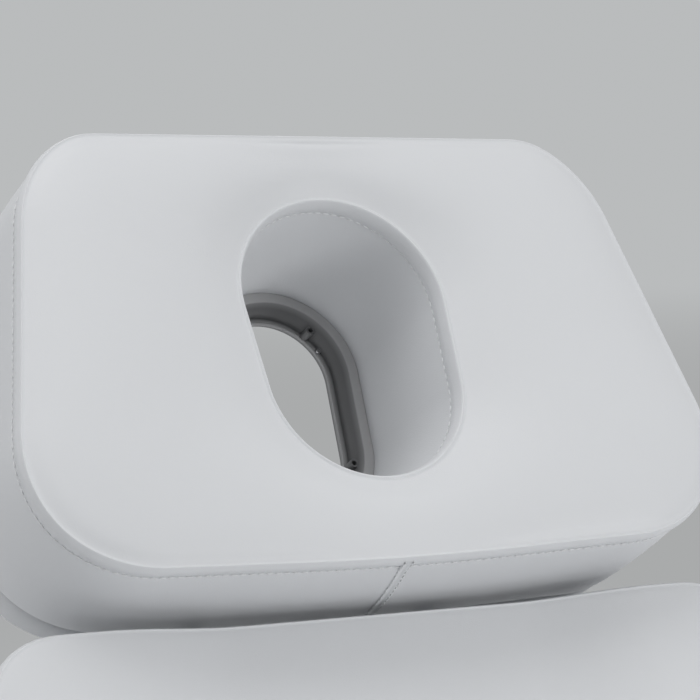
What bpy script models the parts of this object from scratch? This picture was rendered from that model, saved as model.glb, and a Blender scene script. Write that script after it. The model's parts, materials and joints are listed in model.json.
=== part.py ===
"""Electric beauty treatment chair with a face-hole headrest.

Metres, +Z up, the head end towards +Y. Left and right are as seen from the foot end.
Each moving group hangs on an empty that stands on its joint's axis. A group is drawn lying
flat, with its axis at the group's own origin, and the empty turns it to the resting angle.
"""

import math

import bmesh
import bpy
from mathutils import Vector

# Resting pose and the range that the drives are laid out for
SEAT_HEIGHT = 0.600
BACK_ANGLE = math.radians(61)
BACK_FLAT = math.radians(0)
BACK_UPRIGHT = math.radians(75)
LEG_ANGLE = math.radians(40)
LEG_FLAT = math.radians(0)
LEG_DOWN = math.radians(70)

# Clearances: between pieces that touch, and between pieces that run in each other
GAP = 0.0003
RUNNING = 0.0004
STAGE_GAP = 0.0005

# Facets
ROUND_STEPS = 20
SMALL_STEPS = 14
CORNER_STEPS = 4
PAD_CORNER_STEPS = 5
PAD_SIDE_STEPS = 4
HEAD_CORNER_STEPS = 7
HEAD_SIDE_STEPS = 6
SHOULDER_STEPS = 3
SHARP_ANGLE = math.radians(35)
HOLE_PRECISION = 1e-7

# Headrest
HEADREST_WIDTH = 0.535
HEADREST_FAR_WIDTH = 0.415
HEADREST_DEPTH = 0.305
HEADREST_CORNER = 0.098
HEADREST_FAR_CORNER = 0.062
HEADREST_FOAM = 0.110
HEADREST_BOARD = 0.024
HEADREST_BOARD_INSET = 0.003
HEADREST_CROWN = 0.009
HEADREST_GAP = 0.015
HEADREST_RISE = 0.062
FACE_HOLE_LENGTH = 0.200
FACE_HOLE_HEAD_WIDTH = 0.147
FACE_HOLE_FOOT_WIDTH = 0.140
FACE_HOLE_OFFSET = 0.006
FACE_HOLE_TAPER = 0.012
FACE_HOLE_DISH = 0.012
FACE_HOLE_DISH_FROM = 0.33

# Plastic ring in the face hole
RING_RECESS = 0.012
RING_SEAT = 0.008
RING_FLANGE = 0.004
RING_WALL = 0.0035
RING_LIP = 0.005
RING_LIP_THICKNESS = 0.004

# Head carrier: two rods that slide in guides under the back board
HEAD_ROD_RADIUS = 0.008
HEAD_ROD_SPACING = 0.180
HEAD_ROD_LENGTH = 0.340
GUIDE_WALL = 0.004
GUIDE_LENGTH = 0.270
GUIDE_END = 0.025
HEAD_HINGE_INSET = 0.048
HEAD_BARREL_RADIUS = 0.0125
HEAD_PIN_RADIUS = 0.006
HEAD_PIN_OVERHANG = 0.005
BRACKET_THICKNESS = 0.005
BRACKET_FOOT_REACH = 0.036
BRACKET_RING_GAP = 0.0058
BRACKET_EAR = 0.008
BRACKET_EAR_RADIUS = 0.016

# Backrest
BACK_LENGTH = 0.625
BACK_WIDTH = 0.550
BACK_TOP_WIDTH = 0.560
BACK_CORNER = 0.050
BACK_FOAM = 0.075
BACK_CROWN = 0.008
BACK_BOARD = 0.012
BACK_BOLSTER = 0.014
BACK_BOLSTER_FROM = 0.100
BACK_BOLSTER_TO = 0.200
BACK_START = 0.015
BACK_TUBE = 0.030
BACK_TUBE_SPACING = 0.340
BACK_CROSS_FOOT = 0.090
BACK_CROSS_MIDDLE = 0.360
BACK_CROSS_HEAD = 0.560

# Seat
SEAT_LENGTH = 0.500
SEAT_WIDTH = 0.550
SEAT_CORNER = 0.045
SEAT_FOAM = 0.088
SEAT_CROWN = 0.012
SEAT_BOARD = 0.015
BOARD_INSET = 0.008
RAIL_WIDTH = 0.030
RAIL_HEIGHT = 0.040
RAIL_SPACING = 0.440
FRONT_CROSS_INSET = 0.040
HEAD_PLATE = 0.008
HEAD_PLATE_WIDTH = 0.240

# Side plates with the back and armrest pivots
SEAT_BACK_GAP = 0.030
BACK_PIVOT_DEPTH = 0.018
SIDE_PLATE = 0.008
SIDE_PLATE_CLEAR = 0.010
SIDE_PLATE_RADIUS = 0.030
PIVOT_RADIUS = 0.010
PIVOT_HEAD = 0.004
PIVOT_HEAD_RADIUS = 0.016
BACK_PLATE_RADIUS = 0.028

# Leg rest
LEG_LENGTH = 0.460
LEG_WIDTH = 0.530
LEG_FOOT_WIDTH = 0.470
LEG_CORNER = 0.050
LEG_CROWN = 0.010
LEG_BOARD = 0.012
LEG_PIVOT_GAP = 0.012
LEG_START = 0.012
LEG_TUBE_RADIUS = 0.0175
LEG_TUBE_WIDTH = 0.026
LEG_CROSS_NEAR = 0.060
LEG_CROSS_FAR = 0.390
LEG_SHAFT_RADIUS = 0.008
RAIL_END = 0.018

# Back and leg drives: a motor with a push rod, whose slotted yoke takes the lever's pin
DRIVE_X = 0.178
BACK_LEVER = 0.170
LEG_LEVER = 0.100
LEVER_THICKNESS = 0.012
LEVER_RADIUS = 0.016
LEVER_PIN_RADIUS = 0.006
LEVER_PIN_HEAD = 0.003
LEVER_PIN_HEAD_RADIUS = 0.0125
YOKE_RIM = 0.010
YOKE_SLACK = 0.0032
DRIVE_TUBE_RADIUS = 0.022
PUSH_ROD_RADIUS = 0.011
PUSH_ROD_HOLD = 0.030
TUBE_END_GAP = 0.006
TUBE_TAIL_GAP = 0.010
GEARBOX_WIDTH = 0.050
GEARBOX_LENGTH = 0.060
MOTOR_RADIUS = 0.024
MOTOR_LENGTH = 0.080
HANGER_WIDTH = 0.026

# Armrests
ARM_PIVOT_AHEAD = 0.080
ARM_PIVOT_RISE = 0.130
ARM_LENGTH = 0.340
ARM_THICKNESS = 0.012
ARM_RADIUS = 0.012
ARM_EYE_RADIUS = 0.022
ARM_RISE = 0.012
ARM_PIN_RADIUS = 0.008
ARM_FLANGE = 0.004
ARM_FLANGE_WIDTH = 0.055
ARM_BOARD = 0.012
ARM_PAD_WIDTH = 0.085
ARM_PAD_LENGTH = 0.340
ARM_PAD_FOAM = 0.038
ARM_PAD_CORNER = 0.030
ARM_PAD_CROWN = 0.006

# Column
COLUMN_WIDTH = 0.170
COLUMN_DEPTH = 0.200
COLUMN_CORNER = 0.035
COLUMN_WALL = 0.004
STAGE_STEP = 0.014
LIFT_ROD_RADIUS = 0.020
LIFT_WALL = 0.007
LIFT_BLOCK_WIDTH = 0.110
LIFT_BLOCK_DEPTH = 0.130
LIFT_BLOCK_HEIGHT = 0.050

# Base
BASE_LENGTH = 0.800
BASE_WIDTH = 0.560
BASE_OFFSET = 0.060
BASE_CORNER = 0.120
COVER_WALL = 0.004
COVER_LIFT = 0.012
COVER_HEIGHT = 0.114
COVER_SHOULDER = 0.030
FOOT_RADIUS = 0.026
FOOT_HEIGHT = 0.022
FOOT_EDGE = 0.004
FOOT_INSET_X = 0.060
FOOT_INSET_Y = 0.090
BASE_TUBE_WIDTH = 0.060
BASE_TUBE_HEIGHT = 0.040
BASE_SPINE_SPACING = 0.140
BASE_PLATE = 0.010
BASE_PLATE_MARGIN = 0.040
CONTROL_BOX = (0.170, 0.100, 0.036)
INLET_SIZE = (0.048, 0.028)
INLET_DEPTH = 0.022
INLET_RIM = 0.005
INLET_FLANGE = 0.003
INLET_WALL = 0.004
INLET_HEIGHT = 0.045
INLET_X = 0.100
SOCKET_RADIUS = 0.012
SOCKET_BORE = 0.0075

# Cushion edges
EDGE_ROLL = 0.006
DRAW_IN = 0.0025
CROWN_SHARES = (0.06, 0.18, 0.38, 0.62, 0.86)
MIN_CORNER = 0.004

# Finishes: colour, roughness, metallic
VINYL = ((0.66, 0.67, 0.68), 0.45, 0.0)
VINYL_SHADE = ((0.50, 0.51, 0.52), 0.5, 0.0)
PLASTIC_WHITE = ((0.72, 0.73, 0.74), 0.35, 0.0)
PLASTIC_GREY = ((0.16, 0.165, 0.17), 0.4, 0.0)
PLASTIC_BLACK = ((0.02, 0.02, 0.022), 0.45, 0.0)
PAINT_GREY = ((0.30, 0.31, 0.32), 0.4, 0.3)
STEEL = ((0.62, 0.62, 0.63), 0.28, 1.0)
RUBBER = ((0.03, 0.03, 0.03), 0.85, 0.0)

SIDES = {"left": -1, "right": 1}

# The yoke is as thick as its rod, so that the lever passes beside both
YOKE_THICKNESS = 2 * (PUSH_ROD_RADIUS + RUNNING)

# Places of the feet from the base's middle, and the face that takes the sockets
FOOT_X = BASE_WIDTH / 2 - FOOT_INSET_X
FOOT_Y = BASE_LENGTH / 2 - FOOT_INSET_Y
BASE_REAR = BASE_OFFSET + BASE_LENGTH / 2

# Heights of the base and column, from the floor up
BASE_TUBE_LOW = FOOT_HEIGHT + GAP
BASE_TUBE_TOP = BASE_TUBE_LOW + BASE_TUBE_HEIGHT
COLUMN_FOOT = BASE_TUBE_TOP + BASE_PLATE + GAP
SEAT_SEAM = SEAT_HEIGHT - SEAT_CROWN
SEAT_BOARD_TOP = SEAT_SEAM - SEAT_FOAM - GAP
RAIL_TOP = SEAT_BOARD_TOP - SEAT_BOARD - GAP
RAIL_LOW = RAIL_TOP - RAIL_HEIGHT
COLUMN_TOP = RAIL_LOW - HEAD_PLATE - GAP

# Pivots of the back, the leg and the armrests
BACK_PIVOT = Vector((0, SEAT_LENGTH / 2 + SEAT_BACK_GAP, SEAT_SEAM - BACK_PIVOT_DEPTH))
LEG_PIVOT = Vector((0, -SEAT_LENGTH / 2 - LEG_PIVOT_GAP, RAIL_LOW + RAIL_HEIGHT / 2))
ARM_PIVOT = Vector((0, BACK_PIVOT.y - ARM_PIVOT_AHEAD, SEAT_HEIGHT + ARM_PIVOT_RISE))
BACK_PLATE_IN = max(SEAT_WIDTH, BACK_WIDTH) / 2 + SIDE_PLATE_CLEAR
SIDE_PLATE_IN = BACK_PLATE_IN + SIDE_PLATE + 2 * RUNNING
SIDE_PLATE_OUT = SIDE_PLATE_IN + SIDE_PLATE
ARM_IN = SIDE_PLATE_OUT + GAP
ARM_PAD_X = ARM_IN + ARM_PAD_WIDTH / 2
REAR_CROSS_Y = COLUMN_DEPTH / 2 + RAIL_WIDTH / 2 + BASE_PLATE
FRONT_CROSS_Y = -SEAT_LENGTH / 2 + FRONT_CROSS_INSET

# Levels across the back, from its pivot
BACK_BOARD_TOP = BACK_PIVOT_DEPTH - BACK_FOAM - GAP
BACK_BOARD_LOW = BACK_BOARD_TOP - BACK_BOARD
BACK_TUBE_TOP = BACK_BOARD_LOW - GAP
BACK_END = BACK_START + BACK_LENGTH
GUIDE_RADIUS = HEAD_ROD_RADIUS + RUNNING + GUIDE_WALL
GUIDE_LEVEL = BACK_BOARD_LOW - GAP - GUIDE_RADIUS
GUIDE_FAR = BACK_END - GUIDE_END

# The head hinge, from the back's pivot, and the headrest's levels from that hinge
HEAD_HINGE = Vector((0, BACK_END + HEADREST_GAP + HEAD_HINGE_INSET, GUIDE_LEVEL))
HEADREST_SEAM = BACK_PIVOT_DEPTH + HEADREST_RISE - GUIDE_LEVEL
HEADREST_CENTRE = HEADREST_DEPTH / 2 - HEAD_HINGE_INSET
HEADREST_BOARD_TOP = HEADREST_SEAM - HEADREST_FOAM - GAP
HEADREST_BOARD_LOW = HEADREST_BOARD_TOP - HEADREST_BOARD
FACE_HOLE_FOOT = HEADREST_CENTRE + FACE_HOLE_OFFSET - FACE_HOLE_LENGTH / 2
RING_FOOT = FACE_HOLE_FOOT + FACE_HOLE_TAPER + RING_SEAT + GAP


def rounded_rectangle(width, depth, radius, corner_steps, side_steps=1, far_radius=None):
    """Points round a rectangle with arcs at its corners, from the +X side on anticlockwise.

    far_radius is that of the two corners at the +Y end, where they differ.
    """
    points = []
    far_radius = radius if far_radius is None else far_radius
    corners = ((1, 1, far_radius), (-1, 1, far_radius), (-1, -1, radius), (1, -1, radius))
    for corner, (sx, sy, bend) in enumerate(corners):
        cx = sx * (width / 2 - bend)
        cy = sy * (depth / 2 - bend)
        arc = []
        for step in range(corner_steps + 1):
            angle = math.pi / 2 * (corner + step / corner_steps)
            arc.append((cx + bend * math.cos(angle), cy + bend * math.sin(angle)))
        if points:
            points += between(points[-1], arc[0], side_steps)
        points += arc
    return points + between(points[-1], points[0], side_steps)


def between(start, end, steps):
    """Points that part a straight stretch into equal steps, without its ends."""
    return [
        tuple(a + (b - a) * step / steps for a, b in zip(start, end))
        for step in range(1, steps)
    ]


def hull(discs, steps=SMALL_STEPS):
    """Outline of a plate stretched round discs, each given as (first, second, radius)."""
    points = sorted(
        (a + radius * math.cos(math.tau * k / steps), b + radius * math.sin(math.tau * k / steps))
        for a, b, radius in discs
        for k in range(steps)
    )

    def chain(ordered):
        kept = []
        for p in ordered:
            while len(kept) > 1 and turn(kept[-2], kept[-1], p) <= 0:
                kept.pop()
            kept.append(p)
        return kept[:-1]

    return chain(points) + chain(points[::-1])


def turn(a, b, c):
    """Positive where the way from a over b to c turns left."""
    return (b[0] - a[0]) * (c[1] - a[1]) - (b[1] - a[1]) * (c[0] - a[0])


def hole_reach(angle, inset):
    """Distance from the face hole's centre to its edge, moved in by inset."""
    head = FACE_HOLE_HEAD_WIDTH / 2 - inset
    foot = FACE_HOLE_FOOT_WIDTH / 2 - inset
    foot_y = FACE_HOLE_FOOT_WIDTH / 2 - FACE_HOLE_LENGTH / 2
    span = FACE_HOLE_LENGTH / 2 - FACE_HOLE_HEAD_WIDTH / 2 - foot_y
    lean = (foot - head) / span
    flank = math.sqrt(1 - lean * lean)

    def outside(reach):
        x = abs(reach * math.cos(angle))
        y = reach * math.sin(angle) - foot_y
        along = flank * y - lean * x
        if along < 0:
            return math.hypot(x, y) > foot
        if along > flank * span:
            return math.hypot(x, y - span) > head
        return flank * x + lean * y > foot

    near, far = 0, FACE_HOLE_LENGTH
    while far - near > HOLE_PRECISION:
        middle = (near + far) / 2
        near, far = (near, middle) if outside(middle) else (middle, far)
    return near


def headrest_outline(inset):
    """The headrest's outer outline, narrower at the head end, moved in by inset."""
    outline = rounded_rectangle(
        HEADREST_WIDTH - 2 * inset,
        HEADREST_DEPTH - 2 * inset,
        HEADREST_CORNER - inset,
        HEAD_CORNER_STEPS,
        HEAD_SIDE_STEPS,
        HEADREST_FAR_CORNER - inset,
    )
    taper = HEADREST_FAR_WIDTH / HEADREST_WIDTH
    return [(x * narrowing(y, HEADREST_DEPTH, taper), y) for x, y in outline]


def hole_outline(inset):
    """The face hole's outline, on rays from its centre through the headrest's outer outline."""
    points = []
    for x, y in headrest_outline(0):
        angle = math.atan2(y - FACE_HOLE_OFFSET, x)
        reach = hole_reach(angle, inset)
        points.append((reach * math.cos(angle), FACE_HOLE_OFFSET + reach * math.sin(angle)))
    return points


def new_object(name, mesh_data):
    """An object of this mesh data, with its faces turned outwards."""
    bmesh.ops.recalc_face_normals(mesh_data, faces=mesh_data.faces)
    mesh = bpy.data.meshes.new(name)
    mesh_data.to_mesh(mesh)
    mesh_data.free()
    obj = bpy.data.objects.new(name, mesh)
    bpy.context.scene.collection.objects.link(obj)
    return obj


def loft(name, rings, hollow=False):
    """A skin over rings of equal count: capped at both ends, or closed on itself where hollow."""
    data = bmesh.new()
    rows = [[data.verts.new(p) for p in ring] for ring in rings]
    pairs = list(zip(rows, rows[1:]))
    if hollow:
        pairs.append((rows[-1], rows[0]))
    for lower, upper in pairs:
        for k in range(len(lower)):
            after = (k + 1) % len(lower)
            data.faces.new((lower[k], lower[after], upper[after], upper[k]))
    if not hollow:
        data.faces.new(rows[0])
        data.faces.new(rows[-1])
    return new_object(name, data)


def at_height(outline, z, centre_y=0):
    """A flat outline as a ring at this height."""
    return [Vector((x, y + centre_y, z)) for x, y in outline]


def box(name, low, high):
    """A box between two corners."""
    outline = ((low[0], low[1]), (high[0], low[1]), (high[0], high[1]), (low[0], high[1]))
    return loft(name, [at_height(outline, low[2]), at_height(outline, high[2])])


def bar(name, start, end, width, height):
    """A box-section bar along X or Y between two points on its axis."""
    half = Vector((0, width / 2, height / 2))
    if abs(end[1] - start[1]) > abs(end[0] - start[0]):
        half = Vector((width / 2, 0, height / 2))
    return box(name, Vector(start) - half, Vector(end) + half)


def plate(name, outline, low_x, high_x):
    """A plate across X, cut to an outline of (y, z) points."""
    return loft(name, [[Vector((x, y, z)) for y, z in outline] for x in (low_x, high_x)])


def turned(name, profile, axis, centre=(0, 0, 0), steps=ROUND_STEPS, hollow=False):
    """A turned piece: the profile gives (radius, place along the axis) pairs."""
    order = {"X": (1, 2, 0), "Y": (2, 0, 1), "Z": (0, 1, 2)}[axis]
    rings = []
    for radius, along in profile:
        ring = []
        for k in range(steps):
            angle = math.tau * k / steps
            point = Vector(centre)
            point[order[0]] += radius * math.cos(angle)
            point[order[1]] += radius * math.sin(angle)
            point[order[2]] += along
            ring.append(point)
        rings.append(ring)
    return loft(name, rings, hollow)


def rod(name, radius, low, high, axis, centre=(0, 0, 0), steps=ROUND_STEPS):
    """A plain round bar."""
    return turned(name, ((radius, low), (radius, high)), axis, centre, steps)


def combine(target, tools, operation):
    """Joins the tools to the target, or cuts them from it, and removes them."""
    for tool in tools:
        change = target.modifiers.new(operation, "BOOLEAN")
        change.operation = operation
        change.solver = "EXACT"
        change.object = tool
    bpy.context.view_layer.update()
    graph = bpy.context.evaluated_depsgraph_get()
    mesh = bpy.data.meshes.new_from_object(target.evaluated_get(graph))
    target.modifiers.clear()
    target.data = mesh
    for tool in tools:
        bpy.data.objects.remove(tool)
    return target


def fuse(target, *pieces):
    return combine(target, pieces, "UNION")


def carve(target, *cutters):
    return combine(target, cutters, "DIFFERENCE")


def pivot(name, parent=None, place=(0, 0, 0), angle=0):
    """An empty on a joint's axis, turned about X."""
    empty = bpy.data.objects.new(name, None)
    empty.location = place
    empty.rotation_euler.x = angle
    empty.parent = parent
    bpy.context.scene.collection.objects.link(empty)
    return empty


def fit(obj, parent, finish):
    """Hangs a finished piece on its group and gives it its material."""
    colour, roughness, metallic = finish
    material = bpy.data.materials.new(obj.name)
    material.use_nodes = True
    shader = material.node_tree.nodes["Principled BSDF"]
    shader.inputs["Base Color"].default_value = (*colour, 1)
    shader.inputs["Roughness"].default_value = roughness
    shader.inputs["Metallic"].default_value = metallic
    obj.data.materials.clear()
    obj.data.materials.append(material)
    obj.data.shade_smooth()
    obj.data.set_sharp_from_angle(angle=SHARP_ANGLE)
    obj.parent = parent
    return obj


def narrowing(y, length, taper):
    """Share of the width that is left at y, where the +Y end is narrowed by taper."""
    return 1 + (taper - 1) * (y / length + 1 / 2)


def board_outline(width, length, corner, taper=1):
    """Outline of the board under a cushion of this size."""
    inset = 2 * BOARD_INSET
    flat = rounded_rectangle(width - inset, length - inset, corner - BOARD_INSET, CORNER_STEPS)
    return [(x * narrowing(y, length, taper), y) for x, y in flat]


def smooth_step(low, high, value):
    share = min(1, max(0, (value - low) / (high - low)))
    return share * share * (3 - 2 * share)


def pad(name, size, corner, crown, place, taper=1, bolster=None):
    """A boxed cushion: rolled lower edge, drawn-in sides, seam and crowned top.

    size is width, length and height up to the seam; place is the middle of its underside.
    taper is the width at the +Y end over the width at the other end, and bolster adds height.
    """
    width, length, foam = size

    def ring(inset, height):
        outline = rounded_rectangle(
            width - 2 * inset,
            length - 2 * inset,
            max(corner - inset, MIN_CORNER),
            PAD_CORNER_STEPS,
            PAD_SIDE_STEPS,
        )
        points = []
        for x, y in outline:
            narrowed = x * narrowing(y, length, taper)
            extra = bolster(narrowed) if bolster and height >= foam else 0
            points.append(Vector((narrowed, y, height + extra)) + Vector(place))
        return points

    rings = [ring(EDGE_ROLL, 0), ring(0, EDGE_ROLL), ring(DRAW_IN, foam / 2), ring(0, foam)]
    for share in CROWN_SHARES:
        swell = crown * math.sin(math.pi / 2 * min(1, 2 * share))
        rings.append(ring(share * min(width, width * taper, length) / 2, foam + swell))
    return loft(name, rings)


class Drive:
    """Places of a push-rod drive, whose lever turns about an X axis at the given pivot."""

    def __init__(self, axis, lever, low, high, rest, side, body_side):
        half = (high - low) / 2
        middle = (high + low) / 2
        self.side = side
        self.body_side = body_side
        self.lever = lever
        # The lever hangs straight down at the middle of its range
        self.lever_angle = -math.pi / 2 - middle
        # Travel per angle of the straight line that lies closest to the lever's sine
        self.rate = lever * (1 - half * half / 8)
        self.yoke_y = axis.y + self.rate * (rest - middle)
        self.level = axis.z - lever * (1 + math.cos(half)) / 2
        self.slot_reach = lever * (1 - math.cos(half)) / 2 + LEVER_PIN_RADIUS + YOKE_SLACK
        near, far = (low, high) if body_side < 0 else (high, low)
        retracted = self.yoke_y + self.rate * (near - rest)
        stroke = self.rate * abs(high - low)
        self.tube_end = retracted + body_side * (self.yoke_half() + TUBE_END_GAP)
        self.rod_tail = self.tube_end + body_side * PUSH_ROD_HOLD + self.rate * (rest - far)
        tail_in = self.tube_end + body_side * (PUSH_ROD_HOLD + stroke)
        self.tube_tail = tail_in + body_side * TUBE_TAIL_GAP
        self.gearbox_end = self.tube_tail + body_side * GEARBOX_LENGTH

    def yoke_half(self):
        return LEVER_PIN_RADIUS + YOKE_SLACK + YOKE_RIM

    def lever_faces(self):
        """The lever's two faces across X, beside the yoke on the chair's inner side."""
        outer = DRIVE_X - YOKE_THICKNESS / 2 - RUNNING
        return sorted((self.side * outer, self.side * (outer - LEVER_THICKNESS)))

    def pin_at(self):
        """The lever pin in the lever's own frame, lying flat."""
        return (self.lever * math.cos(self.lever_angle), self.lever * math.sin(self.lever_angle))


BACK_DRIVE = Drive(BACK_PIVOT, BACK_LEVER, BACK_FLAT, BACK_UPRIGHT, BACK_ANGLE, 1, -1)
LEG_DRIVE = Drive(LEG_PIVOT, LEG_LEVER, LEG_FLAT, LEG_DOWN, LEG_ANGLE, -1, 1)


def lever_plate(name, drive, root):
    """The lever from its root disc, given as (y, z), to its pin, with the pin's hole."""
    pin = drive.pin_at()
    low_x, high_x = drive.lever_faces()
    outline = hull(((*pin, LEVER_RADIUS), (*root, LEVER_RADIUS)))
    hole = rod("hole", LEVER_PIN_RADIUS + GAP, low_x - GAP, high_x + GAP, "X", (0, *pin), SMALL_STEPS)
    return carve(plate(name, outline, low_x, high_x), hole)


def lever_pin(name, drive, parent):
    """A headed pin through the lever and the yoke's slot."""
    inner, outer = sorted(map(abs, drive.lever_faces()))
    tip = DRIVE_X + YOKE_THICKNESS / 2 + RUNNING
    profile = (
        (LEVER_PIN_RADIUS, drive.side * inner),
        (LEVER_PIN_RADIUS, drive.side * tip),
        (LEVER_PIN_HEAD_RADIUS, drive.side * tip),
        (LEVER_PIN_HEAD_RADIUS, drive.side * (tip + LEVER_PIN_HEAD)),
    )
    fit(turned(name, profile, "X", (0, *drive.pin_at()), SMALL_STEPS), parent, STEEL)


def push_rod(name, drive, parent):
    """Push rod and slotted yoke, drawn about the yoke's middle."""
    half_slot = LEVER_PIN_RADIUS + YOKE_SLACK
    reach = drive.slot_reach - half_slot
    rim = half_slot + YOKE_RIM
    half = YOKE_THICKNESS / 2
    yoke = plate(name, hull(((0, -reach, rim), (0, reach, rim))), -half, half)
    slot = plate("slot", hull(((0, -reach, half_slot), (0, reach, half_slot))), -2 * half, 2 * half)
    carve(yoke, slot)
    start = drive.body_side * (half_slot + YOKE_RIM / 2)
    low, high = sorted((start, drive.rod_tail - drive.yoke_y))
    fuse(yoke, rod("rod", PUSH_ROD_RADIUS, low, high, "Y"))
    fit(yoke, parent, STEEL)


def drive_motor(name, drive, parent):
    """Actuator body: guide tube, gearbox and the motor that hangs from it."""
    centre = (drive.side * DRIVE_X, 0, drive.level)
    inner = PUSH_ROD_RADIUS + RUNNING
    into_box = drive.tube_tail + drive.body_side * GEARBOX_LENGTH / 4
    low, high = sorted((drive.tube_end, into_box))
    profile = ((DRIVE_TUBE_RADIUS, low), (DRIVE_TUBE_RADIUS, high), (inner, high), (inner, low))
    body = turned(name, profile, "Y", centre, hollow=True)
    low, high = sorted((drive.tube_tail, drive.gearbox_end))
    half = GEARBOX_WIDTH / 2
    gearbox = box(
        "gearbox",
        (centre[0] - half, low, drive.level - half),
        (centre[0] + half, high, drive.level + half),
    )
    middle = (centre[0], (low + high) / 2, drive.level - half)
    motor = rod("motor", MOTOR_RADIUS, -MOTOR_LENGTH, half, "Z", middle)
    fit(fuse(body, gearbox, motor), parent, PLASTIC_BLACK)


def hanger(drive, cross_y):
    """Block that carries the gearbox under a cross member of the seat frame."""
    near = drive.gearbox_end + drive.body_side * GAP
    far = cross_y + drive.body_side * RAIL_WIDTH / 2
    low, high = sorted((near, far))
    middle = drive.side * DRIVE_X
    half = HANGER_WIDTH / 2
    return box("hanger", (middle - half, low, drive.level - half), (middle + half, high, RAIL_LOW + half))


def make_base(chair):
    make_base_frame(chair)
    make_feet(chair)
    make_base_cover(chair)
    make_sockets(chair)
    width, depth, height = CONTROL_BOX
    near = COLUMN_DEPTH / 2 + BASE_PLATE_MARGIN + BASE_PLATE
    low = BASE_TUBE_TOP + GAP
    fit(
        box("control_box", (-width / 2, near, low), (width / 2, near + depth, low + height)),
        chair,
        PLASTIC_BLACK,
    )


def make_base_frame(chair):
    """Welded tubes under the cover: two cross tubes, two spines and the column's plate."""
    level = BASE_TUBE_LOW + BASE_TUBE_HEIGHT / 2
    front, rear = BASE_OFFSET - FOOT_Y, BASE_OFFSET + FOOT_Y
    reach_x = FOOT_X + BASE_TUBE_WIDTH / 2
    size = (BASE_TUBE_WIDTH, BASE_TUBE_HEIGHT)
    spine_x = BASE_SPINE_SPACING / 2
    frame = bar("base_frame", (-reach_x, front, level), (reach_x, front, level), *size)
    pieces = [bar("cross", (-reach_x, rear, level), (reach_x, rear, level), *size)]
    for x in (-spine_x, spine_x):
        pieces.append(bar("spine", (x, front, level), (x, rear, level), *size))
    half_x = COLUMN_WIDTH / 2 + BASE_PLATE_MARGIN
    half_y = COLUMN_DEPTH / 2 + BASE_PLATE_MARGIN
    top = BASE_TUBE_TOP + BASE_PLATE
    pieces.append(box("plate", (-half_x, -half_y, BASE_TUBE_TOP - BASE_PLATE), (half_x, half_y, top)))
    fit(fuse(frame, *pieces), chair, PAINT_GREY)


def make_feet(chair):
    narrow = FOOT_RADIUS - FOOT_EDGE
    profile = ((narrow, 0), (FOOT_RADIUS, FOOT_EDGE), (narrow, FOOT_HEIGHT))
    for side, sign in SIDES.items():
        for end, y in (("front", BASE_OFFSET - FOOT_Y), ("rear", BASE_OFFSET + FOOT_Y)):
            foot = turned(f"foot_{end}_{side}", profile, "Z", (sign * FOOT_X, y, 0))
            fit(foot, chair, RUBBER)


def make_base_cover(chair):
    """Moulded cover with an upright wall, a rounded shoulder and an opening round the column."""
    top = COVER_LIFT + COVER_HEIGHT
    opening = (COLUMN_WIDTH + 2 * RUNNING, COLUMN_DEPTH + 2 * RUNNING, COLUMN_CORNER + RUNNING)

    def skin(wall):
        rows = [(0, COVER_LIFT), (0, top - COVER_SHOULDER - wall)]
        for step in range(1, SHOULDER_STEPS + 1):
            angle = math.pi / 2 * step / SHOULDER_STEPS
            rows.append(
                (
                    COVER_SHOULDER * (1 - math.cos(angle)),
                    top - COVER_SHOULDER * (1 - math.sin(angle)) - wall,
                )
            )
        return [
            at_height(
                rounded_rectangle(
                    BASE_WIDTH - 2 * (inset + wall),
                    BASE_LENGTH - 2 * (inset + wall),
                    BASE_CORNER - inset - wall,
                    CORNER_STEPS + 1,
                ),
                height,
                BASE_OFFSET,
            )
            for inset, height in rows
        ]

    mouth = rounded_rectangle(*opening, CORNER_STEPS + 1)
    collar = top + COVER_WALL
    rings = skin(0) + [at_height(mouth, collar), at_height(mouth, top - COVER_WALL)]
    cover = loft("base_cover", rings + skin(COVER_WALL)[::-1], hollow=True)
    width, height = INLET_SIZE
    inlet = box(
        "inlet",
        (INLET_X - width / 2 - GAP, BASE_REAR - 2 * COVER_WALL, INLET_HEIGHT - height / 2 - GAP),
        (INLET_X + width / 2 + GAP, BASE_REAR + COVER_WALL, INLET_HEIGHT + height / 2 + GAP),
    )
    place = (-INLET_X, BASE_REAR, INLET_HEIGHT)
    socket = rod("socket", SOCKET_RADIUS + GAP, -2 * COVER_WALL, COVER_WALL, "Y", place)
    fit(carve(cover, inlet, socket), chair, PLASTIC_WHITE)


def make_sockets(chair):
    """Flanged mains inlet and round handset socket in the cover's rear wall, each with its recess."""
    width, height = INLET_SIZE

    def block(name, extra, near, far):
        half_x, half_z = width / 2 + extra, height / 2 + extra
        return box(
            name,
            (INLET_X - half_x, BASE_REAR + near, INLET_HEIGHT - half_z),
            (INLET_X + half_x, BASE_REAR + far, INLET_HEIGHT + half_z),
        )

    inlet = block("mains_inlet", INLET_RIM, GAP, GAP + INLET_FLANGE)
    shank = block("shank", 0, -INLET_DEPTH, INLET_FLANGE / 2)
    recess = block("recess", -INLET_WALL, INLET_WALL - INLET_DEPTH, 2 * INLET_FLANGE)
    fit(carve(fuse(inlet, shank), recess), chair, PLASTIC_BLACK)
    flange = GAP + INLET_FLANGE
    profile = (
        (SOCKET_RADIUS, -INLET_DEPTH),
        (SOCKET_RADIUS, GAP),
        (SOCKET_RADIUS + INLET_RIM, GAP),
        (SOCKET_RADIUS + INLET_RIM, flange),
        (SOCKET_BORE, flange),
        (SOCKET_BORE, INLET_WALL - INLET_DEPTH),
    )
    place = (-INLET_X, BASE_REAR, INLET_HEIGHT)
    fit(turned("handset_socket", profile, "Y", place), chair, PLASTIC_BLACK)


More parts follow.
